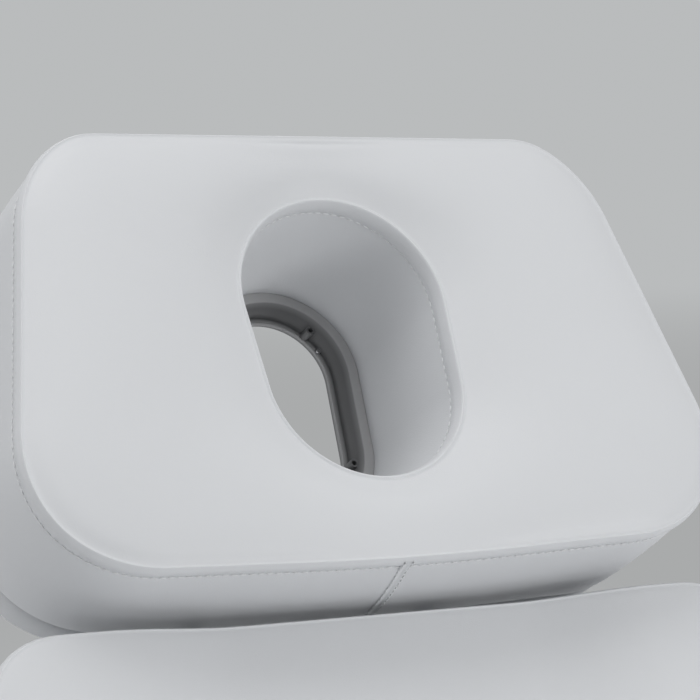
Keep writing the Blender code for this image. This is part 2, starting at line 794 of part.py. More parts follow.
def column_stage(name, stage):
    """One tube of the telescopic column; stage 0 is the outermost."""
    inset = stage * (COLUMN_WALL + STAGE_GAP)
    low = COLUMN_FOOT + stage * STAGE_STEP
    high = COLUMN_TOP - (2 - stage) * STAGE_STEP

    def outline(extra):
        total = inset + extra
        return rounded_rectangle(
            COLUMN_WIDTH - 2 * total, COLUMN_DEPTH - 2 * total, COLUMN_CORNER - total, CORNER_STEPS + 1
        )

    outer, inner = outline(0), outline(COLUMN_WALL)
    rings = (at_height(outer, low), at_height(outer, high), at_height(inner, high), at_height(inner, low))
    return loft(name, rings, hollow=True)


def make_column(chair, middle, carriage):
    """Three telescopic tubes, with the lift drive's three stages inside them."""
    fit(column_stage("column_outer", 0), chair, PLASTIC_WHITE)
    fit(column_stage("column_middle", 1), middle, PLASTIC_WHITE)
    fit(column_stage("column_inner", 2), carriage, PLASTIC_WHITE)
    block_top = COLUMN_FOOT + LIFT_BLOCK_HEIGHT
    tube_in = LIFT_ROD_RADIUS + STAGE_GAP
    tube_out = tube_in + LIFT_WALL
    body_in = tube_out + STAGE_GAP
    body_out = body_in + LIFT_WALL
    top = COLUMN_TOP - 2 * STAGE_STEP
    low = block_top - BASE_PLATE
    shell = ((body_out, low), (body_out, top), (body_in, top), (body_in, low))
    body = turned("lift_motor", shell, "Z", hollow=True)
    block = box(
        "block",
        (-LIFT_BLOCK_WIDTH / 2, -LIFT_BLOCK_DEPTH / 2, COLUMN_FOOT),
        (LIFT_BLOCK_WIDTH / 2, LIFT_BLOCK_DEPTH / 2, block_top),
    )
    fit(fuse(body, block), chair, PLASTIC_BLACK)
    low, top = block_top + STAGE_STEP, COLUMN_TOP - STAGE_STEP
    tube = ((tube_out, low), (tube_out, top), (tube_in, top), (tube_in, low))
    fit(turned("lift_tube", tube, "Z", hollow=True), middle, STEEL)
    fit(rod("lift_rod", LIFT_ROD_RADIUS, block_top + 2 * STAGE_STEP, COLUMN_TOP, "Z"), carriage, STEEL)


def make_seat(carriage):
    make_seat_frame(carriage)
    outline = board_outline(SEAT_WIDTH, SEAT_LENGTH, SEAT_CORNER)
    rings = [at_height(outline, z) for z in (SEAT_BOARD_TOP - SEAT_BOARD, SEAT_BOARD_TOP)]
    fit(loft("seat_board", rings), carriage, VINYL_SHADE)
    size = (SEAT_WIDTH, SEAT_LENGTH, SEAT_FOAM)
    place = (0, 0, SEAT_BOARD_TOP + GAP)
    fit(pad("seat_cushion", size, SEAT_CORNER, SEAT_CROWN, place), carriage, VINYL)
    make_side_plates(carriage)
    reach = RAIL_SPACING / 2 + RAIL_WIDTH / 2
    fit(rod("leg_hinge_shaft", LEG_SHAFT_RADIUS, -reach, reach, "X", LEG_PIVOT), carriage, STEEL)


def make_seat_frame(carriage):
    """Two rails, two cross members, the column's head plate, drive hangers and outriggers."""
    level = RAIL_LOW + RAIL_HEIGHT / 2
    size = (RAIL_WIDTH, RAIL_HEIGHT)
    rail_x = RAIL_SPACING / 2
    front, rear = LEG_PIVOT.y - RAIL_END, SEAT_LENGTH / 2
    frame = bar("seat_frame", (-rail_x, front, level), (-rail_x, rear, level), *size)
    pieces = [bar("rail", (rail_x, front, level), (rail_x, rear, level), *size)]
    for y in (FRONT_CROSS_Y, REAR_CROSS_Y):
        pieces.append(bar("cross", (-rail_x, y, level), (rail_x, y, level), *size))
    half = HEAD_PLATE_WIDTH / 2
    pieces.append(
        box(
            "head_plate",
            (-half, FRONT_CROSS_Y - RAIL_WIDTH / 2, RAIL_LOW - HEAD_PLATE),
            (half, REAR_CROSS_Y + RAIL_WIDTH / 2, RAIL_LOW + HEAD_PLATE),
        )
    )
    pieces += [hanger(BACK_DRIVE, FRONT_CROSS_Y), hanger(LEG_DRIVE, REAR_CROSS_Y)]
    outrigger_y = rear - RAIL_WIDTH / 2
    for sign in SIDES.values():
        low_x, high_x = sorted((sign * rail_x, sign * (SIDE_PLATE_IN - GAP)))
        ends = ((low_x, outrigger_y, level), (high_x, outrigger_y, level))
        pieces.append(bar("outrigger", *ends, *size))
    fuse(frame, *pieces)
    reach = RAIL_SPACING / 2 + RAIL_WIDTH
    hole = rod("hole", LEG_SHAFT_RADIUS + GAP, -reach, reach, "X", LEG_PIVOT)
    fit(carve(frame, hole), carriage, PAINT_GREY)


def make_side_plates(carriage):
    """Outer plates that carry the back pivots and, higher up, the armrest pivots."""
    foot = (SEAT_LENGTH / 2 - RAIL_WIDTH / 2, RAIL_LOW + RAIL_HEIGHT / 2, SIDE_PLATE_RADIUS)
    back = (BACK_PIVOT.y, BACK_PIVOT.z, SIDE_PLATE_RADIUS)
    arm = (ARM_PIVOT.y, ARM_PIVOT.z, ARM_EYE_RADIUS)
    outline = hull((foot, back, arm), ROUND_STEPS)
    for side, sign in SIDES.items():
        low_x, high_x = sorted((sign * SIDE_PLATE_IN, sign * SIDE_PLATE_OUT))
        reach = SIDE_PLATE / 2
        holes = [
            rod("hole", PIVOT_RADIUS + GAP, low_x - reach, high_x + reach, "X", BACK_PIVOT, SMALL_STEPS),
            rod("hole", ARM_PIN_RADIUS + GAP, low_x - reach, high_x + reach, "X", ARM_PIVOT, SMALL_STEPS),
        ]
        body = carve(plate(f"side_plate_{side}", outline, low_x, high_x), *holes)
        fit(body, carriage, PAINT_GREY)
        headed = (
            (PIVOT_RADIUS, sign * (BACK_PLATE_IN - RUNNING)),
            (PIVOT_RADIUS, sign * (SIDE_PLATE_OUT + GAP)),
            (PIVOT_HEAD_RADIUS, sign * (SIDE_PLATE_OUT + GAP)),
            (PIVOT_HEAD_RADIUS, sign * (SIDE_PLATE_OUT + GAP + PIVOT_HEAD)),
        )
        pin = turned(f"back_pivot_{side}", headed, "X", BACK_PIVOT, SMALL_STEPS)
        fit(pin, carriage, STEEL)


def make_back(back):
    make_back_frame(back)
    middle_y = BACK_START + BACK_LENGTH / 2
    taper = BACK_TOP_WIDTH / BACK_WIDTH
    outline = board_outline(BACK_WIDTH, BACK_LENGTH, BACK_CORNER, taper)
    rings = [at_height(outline, z, middle_y) for z in (BACK_BOARD_LOW, BACK_BOARD_TOP)]
    fit(loft("back_board", rings), back, VINYL_SHADE)

    def bolster(x):
        return BACK_BOLSTER * smooth_step(BACK_BOLSTER_FROM, BACK_BOLSTER_TO, abs(x))

    size = (BACK_WIDTH, BACK_LENGTH, BACK_FOAM)
    place = (0, middle_y, BACK_BOARD_TOP + GAP)
    fit(pad("back_cushion", size, BACK_CORNER, BACK_CROWN, place, taper, bolster), back, VINYL)
    lever_pin("back_lever_pin", BACK_DRIVE, back)
    inner = HEAD_ROD_RADIUS + RUNNING
    near = GUIDE_FAR - GUIDE_LENGTH
    profile = ((GUIDE_RADIUS, near), (GUIDE_RADIUS, GUIDE_FAR), (inner, GUIDE_FAR), (inner, near))
    for side, sign in SIDES.items():
        centre = (sign * HEAD_ROD_SPACING / 2, 0, GUIDE_LEVEL)
        fit(turned(f"head_guide_{side}", profile, "Y", centre, hollow=True), back, STEEL)


def make_back_frame(back):
    """Tubes under the back board, with side plates on the pivots, the lever and guide holes."""
    level = BACK_TUBE_TOP - BACK_TUBE / 2
    size = (BACK_TUBE, BACK_TUBE)
    tube_x = BACK_TUBE_SPACING / 2
    plate_out = BACK_PLATE_IN + SIDE_PLATE
    frame = bar(
        "back_frame", (-plate_out, BACK_CROSS_FOOT, level), (plate_out, BACK_CROSS_FOOT, level), *size
    )
    pieces = []
    for y in (BACK_CROSS_MIDDLE, BACK_CROSS_HEAD):
        pieces.append(bar("cross", (-tube_x, y, level), (tube_x, y, level), *size))
    far = BACK_CROSS_HEAD + BACK_TUBE / 2
    for x in (-tube_x, tube_x):
        pieces.append(bar("tube", (x, BACK_CROSS_FOOT, level), (x, far, level), *size))
    outline = hull(((0, 0, BACK_PLATE_RADIUS), (BACK_CROSS_FOOT, level, BACK_TUBE)), ROUND_STEPS)
    for sign in SIDES.values():
        faces = sorted((sign * BACK_PLATE_IN, sign * plate_out))
        pieces.append(plate("side", outline, *faces))
    pieces.append(lever_plate("lever", BACK_DRIVE, (BACK_CROSS_FOOT, BACK_TUBE_TOP - LEVER_RADIUS)))
    fuse(frame, *pieces)
    tip = plate_out + GAP
    cutters = [rod("hole", PIVOT_RADIUS + RUNNING, -tip, tip, "X", steps=SMALL_STEPS)]
    near, far = BACK_CROSS_MIDDLE - BACK_TUBE, BACK_CROSS_HEAD + BACK_TUBE
    for sign in SIDES.values():
        centre = (sign * HEAD_ROD_SPACING / 2, 0, GUIDE_LEVEL)
        cutters.append(rod("hole", GUIDE_RADIUS + GAP, near, far, "Y", centre))
    fit(carve(frame, *cutters), back, PAINT_GREY)


def make_leg(leg):
    """Leg section, drawn lying flat towards -Y from its hinge."""
    tube_x = RAIL_SPACING / 2 - RAIL_WIDTH / 2 - GAP - LEG_TUBE_WIDTH / 2
    half = LEG_TUBE_WIDTH / 2
    outline = hull(((0, 0, LEG_TUBE_RADIUS), (-LEG_CROSS_FAR, 0, LEG_TUBE_RADIUS)), ROUND_STEPS)
    frame = plate("leg_frame", outline, -tube_x - half, -tube_x + half)
    pieces = [plate("tube", outline, tube_x - half, tube_x + half)]
    size = (LEG_TUBE_WIDTH, 2 * LEG_TUBE_RADIUS - 2 * RUNNING)
    for y in (-LEG_CROSS_NEAR, -LEG_CROSS_FAR + LEG_TUBE_RADIUS):
        pieces.append(bar("cross", (-tube_x, y, 0), (tube_x, y, 0), *size))
    pieces.append(lever_plate("lever", LEG_DRIVE, (-LEG_CROSS_NEAR, 0)))
    fuse(frame, *pieces)
    hole = rod("hole", LEG_SHAFT_RADIUS + RUNNING, -tube_x - 2 * half, tube_x + 2 * half, "X")
    fit(carve(frame, hole), leg, PAINT_GREY)
    lever_pin("leg_lever_pin", LEG_DRIVE, leg)
    board_low = LEG_TUBE_RADIUS + GAP
    board_top = board_low + LEG_BOARD
    middle_y = -LEG_START - LEG_LENGTH / 2
    taper = LEG_WIDTH / LEG_FOOT_WIDTH
    outline = board_outline(LEG_FOOT_WIDTH, LEG_LENGTH, LEG_CORNER, taper)
    rings = [at_height(outline, z, middle_y) for z in (board_low, board_top)]
    fit(loft("leg_board", rings), leg, VINYL_SHADE)
    foam = SEAT_SEAM - LEG_PIVOT.z - board_top - GAP
    size = (LEG_FOOT_WIDTH, LEG_LENGTH, foam)
    place = (0, middle_y, board_top + GAP)
    fit(pad("leg_cushion", size, LEG_CORNER, LEG_CROWN, place, taper), leg, VINYL)


def make_head_carrier(slide):
    """Two rods on a cross tube, drawn about the head hinge, and the hinge's pin."""
    rod_x = HEAD_ROD_SPACING / 2
    reach = rod_x + HEAD_ROD_RADIUS + GAP
    bore = HEAD_PIN_RADIUS + GAP
    barrel = (
        (HEAD_BARREL_RADIUS, -reach),
        (HEAD_BARREL_RADIUS, reach),
        (bore, reach),
        (bore, -reach),
    )
    carrier = turned("head_carrier", barrel, "X", hollow=True)
    start = -HEAD_PIN_RADIUS - (HEAD_BARREL_RADIUS - HEAD_PIN_RADIUS) / 2
    for sign in SIDES.values():
        fuse(carrier, rod("rod", HEAD_ROD_RADIUS, -HEAD_ROD_LENGTH, start, "Y", (sign * rod_x, 0, 0)))
    fit(carrier, slide, STEEL)
    tip = reach + RUNNING + BRACKET_EAR + HEAD_PIN_OVERHANG
    fit(rod("head_hinge_pin", HEAD_PIN_RADIUS, -tip, tip, "X"), slide, STEEL)


def make_headrest(tilt):
    """Headrest pieces, drawn about the head hinge."""
    make_headrest_cushion(tilt)
    make_headrest_board(tilt)
    make_face_hole_ring(tilt)
    make_headrest_bracket(tilt)


def make_headrest_cushion(tilt):
    """Boxed pad whose crown runs from the edge seam into a dish round the face hole."""
    low = HEADREST_SEAM - HEADREST_FOAM
    rim = hole_outline(0)
    outer = headrest_outline(0)

    def ring(outline, z):
        return at_height(outline, z, HEADREST_CENTRE)

    rings = [
        ring(headrest_outline(EDGE_ROLL), low),
        ring(outer, low + EDGE_ROLL),
        ring(headrest_outline(DRAW_IN), low + HEADREST_FOAM / 2),
        ring(outer, HEADREST_SEAM),
    ]
    for share in CROWN_SHARES:
        swell = HEADREST_CROWN * math.sin(math.pi / 2 * min(1, 2 * share))
        swell -= FACE_HOLE_DISH * smooth_step(FACE_HOLE_DISH_FROM, 1, share)
        points = [Vector(edge).lerp(Vector(hole), share) for edge, hole in zip(outer, rim)]
        rings.append(ring(points, HEADREST_SEAM + swell))
    rim_height = HEADREST_SEAM + HEADREST_CROWN - FACE_HOLE_DISH - EDGE_ROLL / 2
    rings.append(ring(rim, rim_height))
    rings.append(ring(hole_outline(FACE_HOLE_TAPER), low))
    fit(loft("headrest_cushion", rings, hollow=True), tilt, VINYL)


def make_headrest_board(tilt):
    """The band under the cushion: a board wrapped in the same vinyl, rebated for the ring's flange."""
    def ring(outline, z):
        return at_height(outline, z, HEADREST_CENTRE)

    outer = headrest_outline(HEADREST_BOARD_INSET)
    rolled = headrest_outline(HEADREST_BOARD_INSET + EDGE_ROLL)
    rebate = hole_outline(FACE_HOLE_TAPER)
    opening = hole_outline(FACE_HOLE_TAPER + RING_SEAT)
    rings = [
        ring(rolled, HEADREST_BOARD_LOW),
        ring(outer, HEADREST_BOARD_LOW + EDGE_ROLL),
        ring(outer, HEADREST_BOARD_TOP),
        ring(rebate, HEADREST_BOARD_TOP),
        ring(rebate, HEADREST_BOARD_TOP - RING_RECESS),
        ring(opening, HEADREST_BOARD_TOP - RING_RECESS),
        ring(opening, HEADREST_BOARD_LOW),
    ]
    fit(loft("headrest_board", rings, hollow=True), tilt, VINYL_SHADE)


def make_face_hole_ring(tilt):
    """Collar in the board's opening: flange in the rebate, wall through it and an inward lip."""
    edge = FACE_HOLE_TAPER + GAP
    collar = edge + RING_SEAT
    inner = collar + RING_WALL
    lip = inner + RING_LIP
    top = HEADREST_BOARD_TOP - RING_RECESS + GAP
    low = HEADREST_BOARD_LOW - RING_LIP_THICKNESS
    section = (
        (edge, top),
        (edge, top + RING_FLANGE),
        (inner, top + RING_FLANGE),
        (inner, low + 2 * RING_LIP_THICKNESS),
        (lip, low + RING_LIP_THICKNESS),
        (lip, low),
        (collar, low),
        (collar, top),
    )
    rings = [at_height(hole_outline(inset), z, HEADREST_CENTRE) for inset, z in section]
    fit(loft("face_hole_ring", rings, hollow=True), tilt, PLASTIC_GREY)


def make_headrest_bracket(tilt):
    """Plate under the board, short of the face hole, with an ear at each end of the hinge barrel."""
    reach = HEAD_ROD_SPACING / 2 + HEAD_ROD_RADIUS + GAP + RUNNING
    outer = reach + BRACKET_EAR
    top = HEADREST_BOARD_LOW - GAP
    low = top - BRACKET_THICKNESS
    foot, head = -BRACKET_FOOT_REACH, RING_FOOT - BRACKET_RING_GAP
    bracket = box("headrest_bracket", (-outer, foot, low), (outer, head, top))
    heel = BRACKET_THICKNESS / 2
    discs = ((0, 0, BRACKET_EAR_RADIUS), (foot + heel, low, heel), (head - heel, low, heel))
    for sign in SIDES.values():
        fuse(bracket, plate("ear", hull(discs, ROUND_STEPS), *sorted((sign * reach, sign * outer))))
    hole = rod("hole", HEAD_PIN_RADIUS + RUNNING, -outer - GAP, outer + GAP, "X")
    fit(carve(bracket, hole), tilt, PAINT_GREY)


def make_armrest(side, sign, arm, carriage):
    """Arm with its flange, board and pad, drawn about its pivot, and the pin in the side plate."""
    inner, outer = ARM_IN, ARM_IN + ARM_THICKNESS
    faces = sorted((sign * inner, sign * outer))
    neck = (-2 * ARM_EYE_RADIUS, ARM_RISE, ARM_RADIUS)
    tip = (ARM_RADIUS - ARM_LENGTH, ARM_RISE, ARM_RADIUS)
    eye = hull(((0, 0, ARM_EYE_RADIUS), neck), ROUND_STEPS)
    body = plate(f"armrest_arm_{side}", eye, *faces)
    fuse(body, plate("beam", hull((neck, tip), ROUND_STEPS), *faces))
    top = ARM_RISE + ARM_RADIUS
    flange_x = sorted((sign * inner, sign * (inner + ARM_FLANGE_WIDTH)))
    flange = box(
        "flange",
        (flange_x[0], ARM_RADIUS - ARM_LENGTH, top - ARM_FLANGE),
        (flange_x[1], -2 * ARM_EYE_RADIUS, top + ARM_FLANGE),
    )
    fuse(body, flange)
    bore = ARM_PIN_RADIUS + RUNNING
    carve(body, rod("hole", bore, faces[0] - GAP, faces[1] + GAP, "X", steps=SMALL_STEPS))
    fit(body, arm, PAINT_GREY)
    board_low = top + ARM_FLANGE + GAP
    board_top = board_low + ARM_BOARD
    centre = (sign * ARM_PAD_X, -ARM_PAD_LENGTH / 2)
    flat = [(x + centre[0], y) for x, y in board_outline(ARM_PAD_WIDTH, ARM_PAD_LENGTH, ARM_PAD_CORNER)]
    rings = [at_height(flat, z, centre[1]) for z in (board_low, board_top)]
    fit(loft(f"armrest_board_{side}", rings), arm, VINYL_SHADE)
    size = (ARM_PAD_WIDTH, ARM_PAD_LENGTH, ARM_PAD_FOAM)
    place = (*centre, board_top + GAP)
    fit(pad(f"armrest_pad_{side}", size, ARM_PAD_CORNER, ARM_PAD_CROWN, place), arm, VINYL)
    headed = (
        (ARM_PIN_RADIUS, sign * SIDE_PLATE_IN),
        (ARM_PIN_RADIUS, sign * (outer + GAP)),
        (PIVOT_HEAD_RADIUS, sign * (outer + GAP)),
        (PIVOT_HEAD_RADIUS, sign * (outer + GAP + PIVOT_HEAD)),
    )
    pin = turned(f"armrest_pivot_{side}", headed, "X", ARM_PIVOT, SMALL_STEPS)
    fit(pin, carriage, STEEL)


def centre_on_floor(chair):
    """Moves the chair along Y so that the origin lies under the middle of its box."""
    bpy.context.view_layer.update()
    reach = [
        (obj.matrix_world @ vertex.co).y
        for obj in bpy.context.scene.objects
        if obj.type == "MESH"
        for vertex in obj.data.vertices
    ]
    chair.location.y -= (min(reach) + max(reach)) / 2
    bpy.context.view_layer.update()


def main():
    for obj in list(bpy.data.objects):
        bpy.data.objects.remove(obj)
    chair = pivot("chair")
    middle = pivot("middle_slide", chair)
    carriage = pivot("lift_slide", chair)
    back = pivot("back_hinge", carriage, BACK_PIVOT, BACK_ANGLE)
    leg = pivot("leg_hinge", carriage, LEG_PIVOT, LEG_ANGLE)
    slide = pivot("head_slide", back, HEAD_HINGE)
    tilt = pivot("head_tilt", slide)
    make_base(chair)
    make_column(chair, middle, carriage)
    make_seat(carriage)
    make_back(back)
    make_leg(leg)
    make_head_carrier(slide)
    make_headrest(tilt)
    for name, drive in (("back", BACK_DRIVE), ("leg", LEG_DRIVE)):
        yoke = pivot(f"{name}_push", carriage, (drive.side * DRIVE_X, drive.yoke_y, drive.level))
        push_rod(f"{name}_push_rod", drive, yoke)
        drive_motor(f"{name}_motor", drive, carriage)
    for side, sign in SIDES.items():
        arm = pivot(f"armrest_hinge_{side}", carriage, ARM_PIVOT)
        make_armrest(side, sign, arm, carriage)
    centre_on_floor(chair)


main()
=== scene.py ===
"""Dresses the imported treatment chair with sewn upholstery, finished metal and plastic, and a studio.

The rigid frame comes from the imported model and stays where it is. The pads are sewn here as boxed
cushions and swollen with cloth pressure; rigid pieces get rounded edges and their finishes.
"""

import json
import math
from collections import namedtuple

import bmesh
import bpy
import numpy as np
from mathutils import Matrix, Vector, noise
from mathutils.bvhtree import BVHTree


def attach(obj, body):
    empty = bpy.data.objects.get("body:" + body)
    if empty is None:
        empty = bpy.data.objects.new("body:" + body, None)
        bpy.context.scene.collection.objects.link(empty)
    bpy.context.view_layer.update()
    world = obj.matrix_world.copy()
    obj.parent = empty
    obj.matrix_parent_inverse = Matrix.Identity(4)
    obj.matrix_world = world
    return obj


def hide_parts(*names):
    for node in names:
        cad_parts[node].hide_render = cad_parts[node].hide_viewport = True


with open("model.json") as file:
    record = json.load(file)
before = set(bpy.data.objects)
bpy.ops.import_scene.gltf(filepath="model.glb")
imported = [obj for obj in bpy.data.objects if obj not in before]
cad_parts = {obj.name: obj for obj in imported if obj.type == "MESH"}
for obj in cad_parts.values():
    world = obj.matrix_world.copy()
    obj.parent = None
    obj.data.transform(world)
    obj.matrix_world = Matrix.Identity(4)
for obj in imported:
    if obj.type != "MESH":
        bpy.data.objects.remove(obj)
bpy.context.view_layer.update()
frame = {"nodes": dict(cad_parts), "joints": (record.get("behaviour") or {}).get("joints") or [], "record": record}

bl_info = {
    "name": "Treatment Chair Dressing",
    "version": (1, 0, 0),
    "blender": (4, 5, 0),
    "location": "View3D > Sidebar > Treatment Chair",
    "description": "Sews the chair's pads, finishes its metal and plastic, and sets up a studio",
    "category": "Object",
}

JOINTS = {joint["name"]: joint for joint in frame["joints"]}
BODY_OF = {
    node: body for body, nodes in frame["record"]["behaviour"]["bodies"].items() for node in nodes
}
SLOT_OF = {part["node"]: part["material_slot"] for part in frame["record"]["subparts"]}
SIDES = {"left": -1, "right": 1}

# Slots whose pieces are sewn or moulded anew; the others keep their shape and get rounded edges
NEW_SLOTS = {"vinyl", "vinyl_underside", "ring_plastic"}

# Points round a pad's outline, and rows on its panels
OUTLINE_POINTS = 216
DENSE_POINTS = 1440
BOXING_ROWS = 12
TOP_ROWS = 30
LINING_ROWS = 14
EDGE_ROWS = 4

# Top panel: how its rows crowd to the edge, how far in they reach, and how fast its seams level out
TOP_SPACING = 1.3
TOP_REACH = 0.985
PANEL_FADE = 8

# Sewn edge between top panel and boxing: inset and height from the seam line, upwards
SEAM_PROFILE = (
    (0.0000, -0.0190),
    (0.0005, -0.0160),
    (0.0010, -0.0135),
    (0.0003, -0.0112),
    (-0.0005, -0.0085),
    (-0.0007, -0.0058),
    (-0.0004, -0.0034),
    (0.0003, -0.0016),
    (0.0008, -0.0003),
    (0.0013, 0.0007),
    (0.0019, 0.0007),
    (0.0027, 0.0001),
    (0.0050, 0.0008),
)
STITCH_INSET = 0.0005
STITCH_DROP = 0.0135
STITCH_SIDES = 6
STITCH_RINGS = 4

# Sewn rim of the face hole: distance into the foam and height from the rim, inwards and down
RIM_PROFILE = (
    (0.0060, 0.0012),
    (0.0036, -0.0001),
    (0.0026, 0.0001),
    (0.0019, 0.0010),
    (0.0009, 0.0011),
    (0.0001, -0.0002),
    (-0.0009, -0.0032),
    (-0.0015, -0.0062),
    (-0.0016, -0.0090),
    (-0.0012, -0.0114),
    (-0.0006, -0.0135),
    (-0.0012, -0.0165),
)
RIM_STITCH_INSET = -0.0010
RIM_STITCH_DROP = 0.0135

# Face ring: gap to the pieces round it, flange, its face and seat on the board, wall, lip and rounded edges
FIT_GAP = 0.0003
RING_FLANGE = 0.004
RING_FACE = 0.0074
RING_SEAT = 0.008
RING_WALL = 0.0024
RING_DRAFT = 0.0015
RING_LIP = 0.0046
RING_EDGE = 0.0008
RING_RIM = 0.0003
BOSS_ANGLES = (56, 124, 216, 324)
FITTING_ANGLES = (42, 138, 225, 315)

# Hole's lining: thickness, tuck behind the ring's flange and gap there; and step of the board's upper edge
LINING_THICKNESS = 0.0015
LINING_TUCK = 0.0012
HEM_GAP = 0.00003
BOARD_EDGE = 0.002

# Lapped strip over the boxing's join: share of its rise across it, and its rows
JOIN_PROFILE = (-0.4, 0.9, 1.0, -0.2, 1.0, 0.9, -0.4)
JOIN_ROWS = 9
JOIN_TOP = 0.004

# Fasteners: radius and height of the head, radius and sides of its recess, share of the radius at the top
RING_BOSS = (0.0034, 0.0115, 0.0018, 12, 0.94)
RING_SCREW = (0.0026, 0.0022, 0.0012, 6, 0.8)
FRAME_SCREW = (0.0052, 0.0033, 0.0023, 6, 0.8)
PLATE_BOLT = (0.0070, 0.0044, 0.0030, 6, 0.8)
COVER_SCREW = (0.0045, 0.0022, 0.0016, 6, 0.8)
RECESS_DEPTH = 0.6
HEAD_POINTS = 18

# Places of the screws: across and along each section, or along and up for those on a side
BRACKET_SCREWS = ((0.060, -0.025), (0.060, 0.016))
BACK_SCREWS = ((0.170, 0.140), (0.170, 0.310), (0.170, 0.500))
LEG_SCREWS = ((0.190, -0.110), (0.190, -0.330))
SEAT_SCREWS = ((0.220, -0.200), (0.220, 0.120))
ARM_SCREWS = ((0.338, -0.130), (0.338, 0.060))
PLATE_BOLTS = ((0.192, 0.452), (0.192, 0.478))
COVER_SCREWS = ((-0.250, 0.045), (0.280, 0.045))

# Pads: power of the pillow shape, cloth pressure and its smoothing, scale of the waves, and how full they are
PILLOW_POWER = 3.0
CLOTH_FRAMES = 20
CLOTH_PRESSURE = 4.0
WRINKLE_SMOOTHING = 24
WAVE_SCALE = 9.0

# Rigid pieces: rounding of edges, angles that count as an edge or as flat, and merge distance
EDGE_WIDTH = 0.0012
EDGE_STEPS = 2
EDGE_ANGLE = math.radians(40)
HEAD_ANGLE = math.radians(35)
FLAT_ANGLE = math.radians(0.5)
MERGE_DISTANCE = 1e-6

# Lamps: name, place, target, diameter, watts and spread
LAMPS = (
    ("overhead", (-0.8, 0.3, 4.1), (0, 0.5, 1.0), 2.2, 31, math.pi),
    ("front", (1.5, -2.0, 0.85), (0, 0.7, 1.1), 1.1, 5.9, math.radians(80)),
    ("left", (-2.6, 0.4, 3.2), (0, 0.5, 1.0), 1.8, 12, math.pi),
    ("rear", (1.5, 3.4, 2.6), (0, 0.2, 0.7), 2.0, 14, math.pi),
)

# Floor: half its size, and where it turns into the far floor and that into the backdrop
FLOOR_REACH = 60
FAR_FLOOR = (3.0, 8.0)
FLOOR_END = (14.0, 46.0)
CAMERA_CLIP = 0.01

# Finishes: a slow change of tone, a raised grain, and the surface that has both
Tone = namedtuple("Tone", "texture scale detail depth")
Grain = namedtuple("Grain", "texture scale detail strength height")
Surface = namedtuple("Surface", "tint roughness gloss tone grain metallic specular", defaults=(0.0, 0.5))

VINYL = Surface(
    "vinyl",
    0.46,
    (-0.06, 0.08),
    Tone("noise", 7.0, 3.0, 0.035),
    (Grain("pebbles", 1250.0, None, 0.22, 0.0003), Grain("noise", 520.0, 3.0, 0.10, 0.0002)),
    specular=0.42,
)
PLASTIC_GLOSS = (-0.05, 0.07)
PLASTIC_TONE = Tone("noise", 6.0, 2.0, 0.06)
RING_GRAIN = Grain("noise", 1400.0, 2.0, 0.25, 0.0002)
COVER_GRAIN = RING_GRAIN._replace(strength=0.12)
DRIVE_GRAIN = RING_GRAIN._replace(strength=0.5)
PAINT_TONE = Tone("noise", 24.0, 6.0, 0.12)
PAINT_PEEL = Grain("noise", 480.0, 1.5, 0.3, 0.0003)
STEEL_HAZE = Tone("noise", 30.0, 4.0, 0.12)
STEEL_MARKS = Grain("noise", 900.0, 2.0, 0.12, 0.0001)
TWIST_TONE = Tone("twist", 900.0, None, 0.25)
TWIST_GRAIN = Grain("twist", 900.0, None, 0.5, 0.0002)
DUST_TONE = Tone("noise", 60.0, 5.0, 0.3)
DUST_GRAIN = Grain("noise", 60.0, 5.0, 0.3, 0.0004)

# Each material slot's surface: tint, roughness, fall and rise of that, slow change of tone, and raised grain
SURFACES = {
    "vinyl": VINYL,
    "vinyl_underside": VINYL._replace(tint="underside", roughness=0.52),
    "board": VINYL._replace(tint="underside", roughness=0.55),
    "thread": Surface("thread", 0.6, None, TWIST_TONE, (TWIST_GRAIN,), specular=0.3),
    "ring_plastic": Surface("ring", 0.42, PLASTIC_GLOSS, PLASTIC_TONE, (RING_GRAIN,)),
    "white_plastic": Surface("cover", 0.3, PLASTIC_GLOSS, PLASTIC_TONE, (COVER_GRAIN,)),
    "black_plastic": Surface("drive", 0.5, PLASTIC_GLOSS, PLASTIC_TONE, (DRIVE_GRAIN,)),
    "frame_paint": Surface("paint", 0.42, (-0.08, 0.08), PAINT_TONE, (PAINT_PEEL,)),
    "steel": Surface("steel", 0.26, (-0.06, 0.10), STEEL_HAZE, (STEEL_MARKS,), metallic=1.0),
    "rubber": Surface("rubber", 0.85, None, DUST_TONE, (DUST_GRAIN,), specular=0.3),
}


def metres(label, default, description):
    return bpy.props.FloatProperty(
        name=label, default=default, description=description, unit="LENGTH", precision=4
    )


def share(label, default, description):
    return bpy.props.FloatProperty(
        name=label, default=default, description=description, min=0, max=1, subtype="FACTOR"
    )


def tint(label, default, description):
    return bpy.props.FloatVectorProperty(
        name=label, default=default, description=description, size=3, min=0, max=1, subtype="COLOR"
    )


